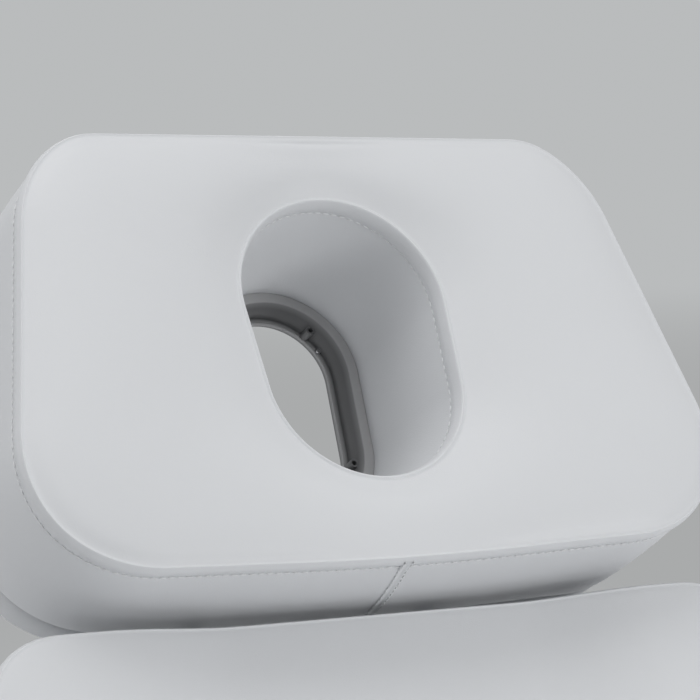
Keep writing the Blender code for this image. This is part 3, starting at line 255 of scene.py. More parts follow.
class HeadrestSettings(bpy.types.PropertyGroup):
    width: metres("Width", 0.535, "Across the headrest at the back, measured to the sides' lines")
    far_width: metres("Far width", 0.415, "Across the headrest at the head end")
    depth: metres("Depth", 0.305, "Along the headrest at its seam")
    corner: metres("Corner", 0.098, "Radius of the corners at the back")
    far_corner: metres("Far corner", 0.062, "Radius of the corners at the head end")
    bow: metres("Bow", 0.0025, "How far the edge at the back bows out in its middle")
    bow_half: metres("Bow half width", 0.112, "Distance from the middle where the bowed edge meets its line")
    foam: metres("Foam", 0.110, "Height of the boxing up to the seam")
    crown: metres("Crown", 0.013, "Rise of the top panel over the seam")
    roll: metres("Roll", 0.028, "How far in from the seam the top panel rounds over")
    hole_length: metres("Hole length", 0.200, "Length of the face hole")
    hole_head: metres("Hole head width", 0.147, "Width of the face hole towards the head end")
    hole_foot: metres("Hole foot width", 0.140, "Width of the face hole towards the back")
    hole_offset: metres("Hole offset", 0.006, "Place of the hole's middle, towards the head end")
    hole_taper: metres("Hole taper", 0.012, "How far the lining runs in down to the ring")
    rim_drop: metres("Rim drop", 0.0085, "Depth of the hole's rim under the edge seam")
    dish_reach: metres("Dish reach", 0.024, "How far from the hole the panel starts to sink")
    board_inset: metres("Board inset", 0.0015, "Step from the cushion in to the board under it")
    board_roll: metres("Board roll", 0.0035, "Radius of the board's lower edge")
    join_at: metres("Boxing join", -0.006, "Place of the boxing's sewn join along the side at the back")
    join_lean: share("Join lean", 0.18, "How far the join runs sideways for each metre down the boxing")
    join_width: metres("Join width", 0.0090, "Width of the lapped strip over the boxing's join")
    join_rise: metres("Join rise", 0.0007, "Thickness of the lapped strip")


class BackSettings(bpy.types.PropertyGroup):
    width: metres("Width", 0.550, "Across the back at the seat")
    top_width: metres("Top width", 0.560, "Across the back at the headrest")
    corner: metres("Corner", 0.050, "Radius of the outline's corners")
    reach: metres("Reach", 0.0004, "How far the top edge stands out past its board, towards the headrest")
    foam: metres("Foam", 0.074, "Height of the boxing up to the seam")
    crown: metres("Crown", 0.008, "Rise of the top panel over the seam")
    bolster: metres("Bolster", 0.013, "Rise of the back's flanks over its middle")
    bolster_from: metres("Bolster from", 0.100, "Distance from the middle where the flanks start to rise")
    bolster_to: metres("Bolster to", 0.200, "Distance from the middle where the flanks are at full height")


class SeatSettings(bpy.types.PropertyGroup):
    corner: metres("Corner", 0.045, "Radius of the outline's corners")
    crown: metres("Crown", 0.012, "Rise of the top panel over the seam")


class LegSettings(bpy.types.PropertyGroup):
    width: metres("Width", 0.530, "Across the leg section at the seat")
    foot_width: metres("Foot width", 0.470, "Across the leg section at its foot end")
    corner: metres("Corner", 0.050, "Radius of the outline's corners")
    crown: metres("Crown", 0.010, "Rise of the top panel over the seam")


class ArmrestSettings(bpy.types.PropertyGroup):
    corner: metres("Corner", 0.030, "Radius of the outline's corners")
    crown: metres("Crown", 0.006, "Rise of the top panel over the seam")


class SewingSettings(bpy.types.PropertyGroup):
    pitch: metres("Stitch pitch", 0.0060, "From one stitch to the next")
    stitch: metres("Stitch length", 0.0044, "Length of one stitch")
    thread: metres("Thread radius", 0.00058, "Radius of the sewing thread")
    bulge: metres("Boxing bulge", 0.0012, "How far the boxing swells between its seams")
    edge: metres("Lower edge", 0.005, "Radius of a cushion's lower edge")
    roll: metres("Edge roll", 0.011, "How far in the top panel's edge rounds over")
    swell: metres("Swell", 0.003, "Most that cloth pressure may move a panel")
    unevenness: metres("Unevenness", 0.0005, "Gentle hand-made unevenness of the panels")


class FinishSettings(bpy.types.PropertyGroup):
    vinyl: tint("Vinyl", (0.665, 0.675, 0.690), "White vinyl of the pads")
    underside: tint("Underside", (0.62, 0.63, 0.645), "Vinyl that wraps the boards")
    thread: tint("Thread", (0.86, 0.87, 0.88), "Sewing thread")
    ring: tint("Face ring", (0.130, 0.131, 0.133), "Moulded ring in the face hole")
    # Painted light: a paler tint for the ring's upward faces of flange and lip, where light from above falls on
    # them
    ring_painted_light: tint("Ring face", (0.40, 0.40, 0.403), "Burnished face of the ring's flange and lip")
    cover: tint("Covers", (0.70, 0.71, 0.72), "Moulded base cover and column")
    drive: tint("Drives", (0.022, 0.022, 0.024), "Motor housings and sockets")
    paint: tint("Frame paint", (0.30, 0.31, 0.32), "Powder coat on the frames")
    steel: tint("Steel", (0.60, 0.60, 0.61), "Bright drawn steel")
    rubber: tint("Rubber", (0.03, 0.03, 0.031), "Feet")


class StageSettings(bpy.types.PropertyGroup):
    lens: bpy.props.FloatProperty(
        name="Lens", default=132.7, description="Focal length on a 36 mm sensor", unit="CAMERA"
    )
    camera: bpy.props.FloatVectorProperty(
        name="Camera",
        default=(-0.8052, -0.9138, 1.4015),
        description="Camera position",
        subtype="TRANSLATION",
    )
    aim: bpy.props.FloatVectorProperty(
        name="Aim", default=(0.47495, 0.87822, -0.0561), description="Viewing direction", subtype="DIRECTION"
    )
    backdrop: tint("Backdrop", (0.490, 0.502, 0.507), "Plain background")
    floor: tint("Floor", (0.84, 0.845, 0.85), "Pale floor round the chair")
    far_floor: tint("Far floor", (0.398, 0.406, 0.408), "Floor out towards the backdrop")
    horizon: tint("Horizon light", (0.385, 0.389, 0.395), "Even light from the sides")
    zenith: tint("Overhead light", (0.68, 0.685, 0.695), "Even light from above")


class ChairSettings(bpy.types.PropertyGroup):
    headrest: bpy.props.PointerProperty(type=HeadrestSettings)
    back: bpy.props.PointerProperty(type=BackSettings)
    seat: bpy.props.PointerProperty(type=SeatSettings)
    leg: bpy.props.PointerProperty(type=LegSettings)
    armrest: bpy.props.PointerProperty(type=ArmrestSettings)
    sewing: bpy.props.PointerProperty(type=SewingSettings)
    finish: bpy.props.PointerProperty(type=FinishSettings)
    stage: bpy.props.PointerProperty(type=StageSettings)


def settings():
    return bpy.context.scene.treatment_chair


class Section:
    """A section's own axes: X across the chair, Y along the section, Z out of its padded face."""

    def __init__(self, origin, angle):
        self.matrix = Matrix.Translation(origin) @ Matrix.Rotation(angle, 4, "X")
        self.inverse = self.matrix.inverted()

    def extent(self, node):
        """Lowest and highest corner of a CAD node along these axes."""
        points = np.array([self.inverse @ vertex.co for vertex in frame["nodes"][node].data.vertices])
        return Vector(points.min(0)), Vector(points.max(0))

    def place(self, points):
        """Points in these axes as points in the chair's frame."""
        turned = np.array(self.matrix.to_3x3())
        return np.asarray(points) @ turned.T + np.array(self.matrix.translation)


def slope_of(node):
    """Angle of a board about X, from its broadest face."""
    face = max(frame["nodes"][node].data.polygons, key=lambda polygon: polygon.area)
    normal = face.normal if face.normal.z > 0 else -face.normal
    return math.atan2(-normal.y, normal.z)


BACK = Section(JOINTS["back_recline"]["pos_m"], slope_of("back_board"))
HEAD = Section(JOINTS["head_tilt"]["pos_m"], slope_of("back_board"))
LEG = Section(JOINTS["leg_swing"]["pos_m"], slope_of("leg_board"))
CHAIR = Section((0, 0, 0), 0)


def closed_resample(points, count):
    """Points spaced evenly along a closed outline, from its first point on."""
    loop = np.vstack([points, points[:1]])
    steps = np.linalg.norm(np.diff(loop, axis=0), axis=1)
    along = np.concatenate([[0], np.cumsum(steps)])
    wanted = np.linspace(0, along[-1], count, endpoint=False)
    return np.column_stack([np.interp(wanted, along, loop[:, k]) for k in range(loop.shape[1])])


def rounded_rectangle(width, length, radius, count, far_radius=None):
    """Even points round a rectangle with round corners, anticlockwise from the end of its long axis."""
    dense = []
    far = far_radius or radius
    for corner, (sx, sy, bend) in enumerate(((1, 1, far), (-1, 1, far), (-1, -1, radius), (1, -1, radius))):
        angles = np.linspace(0, math.pi / 2, DENSE_POINTS // 8) + corner * math.pi / 2
        x = sx * (width / 2 - bend) + bend * np.cos(angles)
        y = sy * (length / 2 - bend) + bend * np.sin(angles)
        dense.append(np.column_stack([x, y]))
    dense = np.vstack([[(width / 2, 0)], *dense])
    even = closed_resample(dense, count)
    return np.roll(even, -count // 4, axis=0) if length > width else even


def inward(outline, inset):
    """An outline moved in by inset, which may differ from point to point."""
    tangent = np.roll(outline, -1, axis=0) - np.roll(outline, 1, axis=0)
    normal = np.column_stack([-tangent[:, 1], tangent[:, 0]])
    normal /= np.linalg.norm(normal, axis=1)[:, None]
    return outline + normal * np.reshape(inset, (-1, 1))


def edge_distance(points, width, length, radius):
    """Distance of inner points to the edge of a rounded rectangle."""
    beyond = np.abs(points) - (np.array([width, length]) / 2 - radius)
    outside = np.linalg.norm(np.maximum(beyond, 0), axis=1)
    return radius - outside - np.minimum(beyond.max(axis=1), 0)


def loop_distance(points, loop):
    """Distance of points to a closed outline."""
    step = np.roll(loop, -1, axis=0) - loop
    offset = points[:, None] - loop[None]
    along = np.clip((offset * step).sum(2) / (step * step).sum(1), 0, 1)
    return np.linalg.norm(offset - along[..., None] * step, axis=2).min(axis=1)


def smooth_step(low, high, values):
    part = np.clip((values - low) / (high - low), 0, 1)
    return part * part * (3 - 2 * part)


def with_height(outline, height):
    """A flat outline with a height, or with one height for each point."""
    return np.column_stack([outline, np.broadcast_to(height, len(outline))])


def mesh_object(name, points, faces, edges=()):
    mesh = bpy.data.meshes.new(name)
    mesh.from_pydata([tuple(p) for p in points], list(edges), faces)
    mesh.update()
    return link_mesh(name, mesh)


def link_mesh(name, mesh):
    obj = bpy.data.objects.new(name, mesh)
    bpy.context.scene.collection.objects.link(obj)
    return obj


def loft(name, rows, section, closed=False):
    """A skin over rows of equal count; its two ends meet, or are filled across their short way."""
    count = len(rows[0])
    faces = []
    for lower in range(len(rows) - (0 if closed else 1)):
        a = lower * count
        b = (lower + 1) % len(rows) * count
        for k in range(count):
            after = (k + 1) % count
            faces.append((a + k, a + after, b + after, b + k))
    if not closed:
        faces += [face[::-1] for face in cross_fill(0, count)]
        faces += cross_fill((len(rows) - 1) * count, count)
    obj = mesh_object(name, section.place(np.vstack(rows)), faces)
    face_outwards(obj.data)
    obj.data.shade_smooth()
    return obj


def face_outwards(mesh):
    skin = bmesh.new()
    skin.from_mesh(mesh)
    bmesh.ops.recalc_face_normals(skin, faces=skin.faces)
    skin.to_mesh(mesh)
    skin.free()


def cross_fill(start, count):
    """Faces that fill a loop from side to side, for a loop that starts on its long axis."""
    faces = [(start, start + 1, start + count - 1)]
    for k in range(1, count // 2 - 1):
        faces.append((start + k, start + k + 1, start + count - k - 1, start + count - k))
    middle = start + count // 2
    return faces + [(middle - 1, middle, middle + 1)]


def coordinates(mesh):
    values = np.empty(len(mesh.vertices) * 3)
    mesh.vertices.foreach_get("co", values)
    return values.reshape(-1, 3)


def move_points(mesh, points):
    mesh.vertices.foreach_set("co", np.asarray(points, dtype=float).ravel())
    mesh.update()


def evaluated_mesh(obj):
    """The object's mesh with its modifiers applied, as new plain data."""
    bpy.context.view_layer.update()
    graph = bpy.context.evaluated_depsgraph_get()
    return bpy.data.meshes.new_from_object(obj.evaluated_get(graph))


def swell(pad, free_rows, count, most):
    """Lets cloth pressure swell the free rows of a pad's skin, by no more than the given distance."""
    rest = coordinates(pad.data)
    free = np.zeros(len(rest), dtype=bool)
    for row in free_rows:
        free[row * count : (row + 1) * count] = True
    held = pad.vertex_groups.new(name="held")
    held.add([int(k) for k in np.flatnonzero(~free)], 1.0, "REPLACE")
    cloth = pad.modifiers.new("swell", "CLOTH")
    cloth.settings.vertex_group_mass = "held"
    cloth.settings.use_pressure = True
    cloth.settings.uniform_pressure_force = CLOTH_PRESSURE
    cloth.settings.effector_weights.gravity = 0
    cloth.point_cache.frame_start = 1
    cloth.point_cache.frame_end = CLOTH_FRAMES
    for step in range(1, CLOTH_FRAMES + 1):
        bpy.context.scene.frame_set(step)
    swollen = evaluated_mesh(pad)
    moved = coordinates(swollen) - rest
    bpy.data.meshes.remove(swollen)
    pad.modifiers.clear()
    pad.vertex_groups.clear()
    bpy.context.scene.frame_set(1)
    grid = moved.reshape(-1, count, 3)
    for _ in range(WRINKLE_SMOOTHING):
        grid = (np.roll(grid, 1, axis=1) + 2 * grid + np.roll(grid, -1, axis=1)) / 4
    moved = grid.reshape(-1, 3)
    furthest = np.linalg.norm(moved, axis=1).max()
    move_points(pad.data, rest + moved * min(1, most / furthest))


def uneven(pad, free_rows, count, depth):
    """Gentle waves in the free rows, as hand-stretched covers have."""
    points = coordinates(pad.data)
    normals = np.empty(len(points) * 3)
    pad.data.vertex_normals.foreach_get("vector", normals)
    normals = normals.reshape(-1, 3)
    for row in free_rows:
        for k in range(row * count, (row + 1) * count):
            points[k] += normals[k] * depth * noise.noise(Vector(points[k]) * WAVE_SCALE)
    move_points(pad.data, points)


def soften(obj):
    change = obj.modifiers.new("subdivision", "SUBSURF")
    change.levels = change.render_levels = 1


def dress(obj, body, slot, material, nodes=()):
    """Fits a finished piece to its body, with its material and the nodes it stands for."""
    if material:
        obj.data.materials.clear()
        obj.data.materials.append(material)
    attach(obj, body)
    if nodes:
        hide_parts(*nodes)


# Materials


def add(tree, kind, modes=None, **inputs):
    """A node with its modes set and its inputs set or linked by name."""
    node = tree.nodes.new(kind)
    for key, value in (modes or {}).items():
        setattr(node, key, value)
    for key, value in inputs.items():
        socket = node.inputs[key.replace("_", " ")]
        if isinstance(value, bpy.types.NodeSocket):
            tree.links.new(value, socket)
        else:
            socket.default_value = value
    return node


def mix_colours(tree, factor, first, second):
    """Socket that goes from the first colour to the second; each is a colour or a socket."""
    mix = add(tree, "ShaderNodeMix", {"data_type": "RGBA"}, Factor=factor)
    # The colour sockets of this node come after those for numbers and vectors
    for socket, colour in zip(mix.inputs[6:8], (first, second)):
        if isinstance(colour, bpy.types.NodeSocket):
            tree.links.new(colour, socket)
        else:
            socket.default_value = (*colour, 1)
    return mix.outputs[2]


def texture(tree, place, kind, scale, detail):
    """Socket of a texture: pebbled vinyl, twisted thread or plain noise."""
    if kind == "pebbles":
        modes = {"feature": "SMOOTH_F1"}
        return add(tree, "ShaderNodeTexVoronoi", modes, Vector=place, Scale=scale).outputs["Distance"]
    if kind == "twist":
        return add(tree, "ShaderNodeTexWave", Vector=place, Scale=scale, Distortion=1.0).outputs["Fac"]
    return add(tree, "ShaderNodeTexNoise", Vector=place, Scale=scale, Detail=detail).outputs["Fac"]


def surface_colour(tree, slot, tone):
    """Colour of a slot's surface: its tint, a little darker in places, and on the ring a paler tint painted as
    light on its upward faces.
    """
    surface, tints = SURFACES[slot], settings().finish
    colour = getattr(tints, surface.tint)
    mixed = mix_colours(tree, tone, [c * (1 - surface.tone.depth) for c in colour], colour)
    if slot != "ring_plastic":
        return mixed
    # Painted light: the ring's upward faces are mixed towards the paler tint by their pale attribute
    painted_light = add(tree, "ShaderNodeAttribute", {"attribute_name": "pale"}).outputs["Fac"]
    return mix_colours(tree, painted_light, mixed, tints.ring_painted_light)


def finish_for(slot):
    """The finish of one material slot, made once."""
    name = f"chair_{slot}"
    made = bpy.data.materials.get(name)
    if made:
        return made
    surface = SURFACES[slot]
    material = bpy.data.materials.new(name)
    material.use_nodes = True
    tree = material.node_tree
    shader = tree.nodes["Principled BSDF"].inputs
    shader["Roughness"].default_value = surface.roughness
    shader["Metallic"].default_value = surface.metallic
    shader["Specular IOR Level"].default_value = surface.specular
    place = add(tree, "ShaderNodeTexCoord").outputs["Object"]
    tone = texture(tree, place, *surface.tone[:3])
    tree.links.new(surface_colour(tree, slot, tone), shader["Base Color"])
    if surface.gloss:
        low, high = (surface.roughness + change for change in surface.gloss)
        gloss = add(tree, "ShaderNodeMapRange", Value=tone, To_Min=low, To_Max=high)
        tree.links.new(gloss.outputs["Result"], shader["Roughness"])
    raised = {}
    for grain in surface.grain:
        height = texture(tree, place, *grain[:3])
        inputs = {"Height": height, "Strength": grain.strength, "Distance": grain.height, **raised}
        raised = {"Normal": add(tree, "ShaderNodeBump", **inputs).outputs["Normal"]}
    tree.links.new(raised["Normal"], shader["Normal"])
    return material


# Sewing


def new_tree(name, sizes, counts=()):
    """A geometry tree that takes a line, sizes, counts and a material, with the sockets it is given."""
    tree = bpy.data.node_groups.new(name, "GeometryNodeTree")
    sockets = {"Line": "Geometry", **dict.fromkeys(sizes, "Float"), **dict.fromkeys(counts, "Int")}
    for label, kind in {**sockets, "Material": "Material"}.items():
        tree.interface.new_socket(label, in_out="INPUT", socket_type=f"NodeSocket{kind}")
    tree.interface.new_socket("Result", in_out="OUTPUT", socket_type="NodeSocketGeometry")
    return tree, tree.nodes.new("NodeGroupInput").outputs


def set_along(tree, given, shape, pitch):
    """Sets a shape at every pitch along the line, facing along it, as one real mesh in its material."""
    curve = add(tree, "GeometryNodeMeshToCurve", Mesh=given["Line"]).outputs["Curve"]
    points = add(tree, "GeometryNodeCurveToPoints", {"mode": "LENGTH"}, Curve=curve, Length=pitch).outputs
    places = {"Points": points["Points"], "Rotation": points["Rotation"]}
    copies = add(tree, "GeometryNodeInstanceOnPoints", Instance=shape, **places)
    real = add(tree, "GeometryNodeRealizeInstances", Geometry=copies.outputs["Instances"])
    smooth = add(tree, "GeometryNodeSetShadeSmooth", Geometry=real.outputs["Geometry"]).outputs["Geometry"]
    coloured = add(tree, "GeometryNodeSetMaterial", Geometry=smooth, Material=given["Material"])
    result = tree.nodes.new("NodeGroupOutput")
    tree.links.new(coloured.outputs["Geometry"], result.inputs["Result"])


def times(tree, socket, factor):
    product = add(tree, "ShaderNodeMath", {"operation": "MULTIPLY"})
    tree.links.new(socket, product.inputs[0])
    product.inputs[1].default_value = factor
    return product.outputs[0]


def stitch_tree():
    """Geometry nodes that set one rounded stitch after the other along a line."""
    made = bpy.data.node_groups.get("stitch_row")
    if made:
        return made
    tree, given = new_tree("stitch_row", ("Pitch", "Stitch", "Thread"))
    bead = add(tree, "GeometryNodeMeshUVSphere", Segments=STITCH_SIDES, Rings=STITCH_RINGS, Radius=1.0)
    half = times(tree, given["Stitch"], 0.5)
    size = add(tree, "ShaderNodeCombineXYZ", X=given["Thread"], Y=given["Thread"], Z=half)
    sewn = add(tree, "GeometryNodeTransform", Geometry=bead.outputs["Mesh"], Scale=size.outputs["Vector"])
    set_along(tree, given, sewn.outputs["Geometry"], given["Pitch"])
    return tree


def fastener_tree():
    """Geometry nodes that set a round head with a recess at the start of each short line."""
    made = bpy.data.node_groups.get("fasteners")
    if made:
        return made
    tree, given = new_tree("fasteners", ("Radius", "Top", "Height", "Recess", "Depth"), ("Sides",))
    radii = {"Radius_Top": given["Top"], "Radius_Bottom": given["Radius"]}
    head = add(tree, "GeometryNodeMeshCone", Vertices=HEAD_POINTS, Depth=given["Height"], **radii)
    deep = times(tree, given["Depth"], 2)
    tool = add(tree, "GeometryNodeMeshCylinder", Vertices=given["Sides"], Radius=given["Recess"], Depth=deep)
    top = add(tree, "ShaderNodeCombineXYZ", Z=given["Height"]).outputs["Vector"]
    raised = add(tree, "GeometryNodeTransform", Geometry=tool.outputs["Mesh"], Translation=top)
    meshes = {"Mesh_1": head.outputs["Mesh"], "Mesh_2": raised.outputs["Geometry"]}
    shape = add(tree, "GeometryNodeMeshBoolean", {"operation": "DIFFERENCE"}, **meshes)
    set_along(tree, given, shape.outputs["Mesh"], 1.0)
    return tree


def run_tree(obj, tree, **values):
    """Runs a node tree on an object, with inputs by name, and leaves the plain mesh that it makes."""
    change = obj.modifiers.new(tree.name, "NODES")
    change.node_group = tree
    for item in tree.interface.items_tree:
        if item.in_out == "INPUT" and item.name in values:
            change[item.identifier] = values[item.name]
    result = evaluated_mesh(obj)
    obj.modifiers.clear()
    obj.data = result


def stitch(name, lines, body):
    """Rows of stitches along lines, each given as points and whether it is closed."""
    points, edges = [], []
    for line, closed in lines:
        first = len(points)
        points += [tuple(p) for p in line]
        edges += [(k, k + 1) for k in range(first, len(points) - 1)]
        if closed:
            edges.append((len(points) - 1, first))
    sewing = settings().sewing
    rows = mesh_object(name, points, [], edges)
    sizes = {"Pitch": sewing.pitch, "Stitch": sewing.stitch, "Thread": sewing.thread}
    run_tree(rows, stitch_tree(), Material=finish_for("thread"), **sizes)
    dress(rows, body, "vinyl", None)


def fasten(name, seats, body, slot, radius, height, recess, sides, taper):
    """Recessed fasteners; each seat is a point and the direction that it faces."""
    points, edges = [], []
    for place, facing in seats:
        edges.append((len(points), len(points) + 1))
        points += [tuple(place), tuple(Vector(place) + Vector(facing) * height)]
    heads = mesh_object(name, points, [], edges)
    head = {"Radius": radius, "Top": radius * taper, "Height": height}
    hollow = {"Recess": recess, "Depth": height * RECESS_DEPTH, "Sides": sides}
    run_tree(heads, fastener_tree(), Material=finish_for(slot), **head, **hollow)
    heads.data.set_sharp_from_angle(angle=HEAD_ANGLE)
    dress(heads, body, slot, None)


def rolled_edge(radius, angles):
    """Inset and height of the rows round a lower edge, from underneath."""
    return [(radius * (1 - math.sin(angle)), radius * (1 - math.cos(angle))) for angle in angles]


def cushion_edge():
    """The rows round a cushion's lower edge, which end where its boxing starts."""
    angles = np.linspace(0, math.pi / 2, EDGE_ROWS, endpoint=False)
    return rolled_edge(settings().sewing.edge, angles)


class Pad:
    """Shape of a boxed cushion without a hole, in its section's axes."""

    def __init__(self, section, node, corner, crown, foam=None, ends=None, bolster=None, reach=0):
        self.section = section
        self.low, self.high = section.extent(node)
        self.high.y += reach
        self.corner = corner
        self.crown = crown
        self.length = self.high.y - self.low.y
        self.near, self.far = ends or (self.high.x - self.low.x,) * 2
        self.width = max(self.near, self.far)
        self.centre = (self.low + self.high) / 2
        self.seam = self.low.z + foam if foam else self.high.z - crown
        self.bolster = bolster or (lambda x: 0 * x)
        self.flat = rounded_rectangle(self.width, self.length, corner, OUTLINE_POINTS)

    def narrowed(self, points):
        """Points of the full-width outline drawn in to the section's taper."""
        part = points[:, 1] / self.length + 1 / 2
        scale = (self.near + (self.far - self.near) * part) / self.width
        return np.column_stack([points[:, 0] * scale, points[:, 1]])

    def row(self, inset, height):
        """The outline moved in by inset; height counts from the seam and follows the bolster."""
        outline = self.narrowed(inward(self.flat, inset))
        return self.lift(outline, self.seam + height + self.bolster(outline[:, 0]))

    def lift(self, outline, height):
        moved = outline + np.array([self.centre.x, self.centre.y])
        return with_height(moved, height)

    def top_row(self, part, inset):
        """A row of the top panel, from the seam towards the middle line of the pad."""
        edge = inward(self.flat, inset)
        half = np.array([self.width, self.length]) / 2
        spare = half - half.min()
        points = edge + (np.clip(edge, -spare, spare) - edge) * part
        crowned = np.prod(1 - np.abs(points / half) ** PILLOW_POWER, axis=1)
        near_edge = edge_distance(points, self.width, self.length, self.corner)
        rounded = 1 - np.exp(-near_edge / settings().sewing.roll)
        outline = self.narrowed(points)
        height = SEAM_PROFILE[-1][1] * (1 - part) + self.crown * crowned * rounded
        return self.lift(outline, self.seam + height + self.bolster(outline[:, 0]))

    def rows(self):
        """All rows from the underside up to the middle of the top panel, and those that may swell."""
        sewing = settings().sewing
        rows = [
            self.lift(self.narrowed(inward(self.flat, inset)), self.low.z + height)
            for inset, height in cushion_edge()
        ]
        boxing_top = self.row(*SEAM_PROFILE[0])
        free = []
        for step in range(BOXING_ROWS):
            part = step / BOXING_ROWS
            outline = self.narrowed(inward(self.flat, -sewing.bulge * math.sin(math.pi * part)))
            row = self.lift(outline, self.low.z + sewing.edge)
            row[:, 2] += (boxing_top[:, 2] - row[:, 2]) * part
            free.append(len(rows))
            rows.append(row)
        rows += [self.row(*place) for place in SEAM_PROFILE]
        for step in range(1, TOP_ROWS + 1):
            free.append(len(rows))
            part = (step / TOP_ROWS) ** TOP_SPACING * TOP_REACH
            rows.append(self.top_row(part, SEAM_PROFILE[-1][0]))
        return rows, free

    def stitch_line(self):
        return self.section.place(self.row(STITCH_INSET, -STITCH_DROP))


def upholster(cushion, free, body, node):
    """Swells a sewn cushion, makes it a little uneven and fits it to its body."""
    sewing = settings().sewing
    swell(cushion, free, OUTLINE_POINTS, sewing.swell)
    uneven(cushion, free, OUTLINE_POINTS, sewing.unevenness)
    soften(cushion)
    dress(cushion, body, "vinyl", finish_for("vinyl"), [node])


def sew_pad(name, pad, body, node):
    """Makes one boxed cushion with its topstitching."""
    rows, free = pad.rows()
    upholster(loft(name, rows, pad.section), free, body, node)
    stitch(f"{name}_stitches", [(pad.stitch_line(), True)], body)


# Headrest


def hole_outline(rest, rays):
    """The face hole's outline on the rays of another outline: two unlike arcs joined by straight flanks."""
    head, foot = rest.hole_head / 2, rest.hole_foot / 2
    head_y = rest.hole_length / 2 - head
    foot_y = foot - rest.hole_length / 2
    lean = math.asin((foot - head) / (head_y - foot_y))
    over = np.linspace(lean, math.pi - lean, DENSE_POINTS)
    under = np.linspace(math.pi - lean, math.tau + lean, DENSE_POINTS)
    dense = np.vstack(
        [
            np.column_stack([head * np.cos(over), head_y + head * np.sin(over)]),
            np.column_stack([foot * np.cos(under), foot_y + foot * np.sin(under)]),
        ]
    )
    dense = closed_resample(dense, 4 * DENSE_POINTS)
    angles = np.arctan2(dense[:, 1], dense[:, 0])
    order = np.argsort(angles)
    reach = np.linalg.norm(dense, axis=1)
    wanted = np.arctan2(rays[:, 1], rays[:, 0])
    found = np.interp(wanted, angles[order], reach[order], period=math.tau)
    return np.column_stack([found * np.cos(wanted), found * np.sin(wanted)])


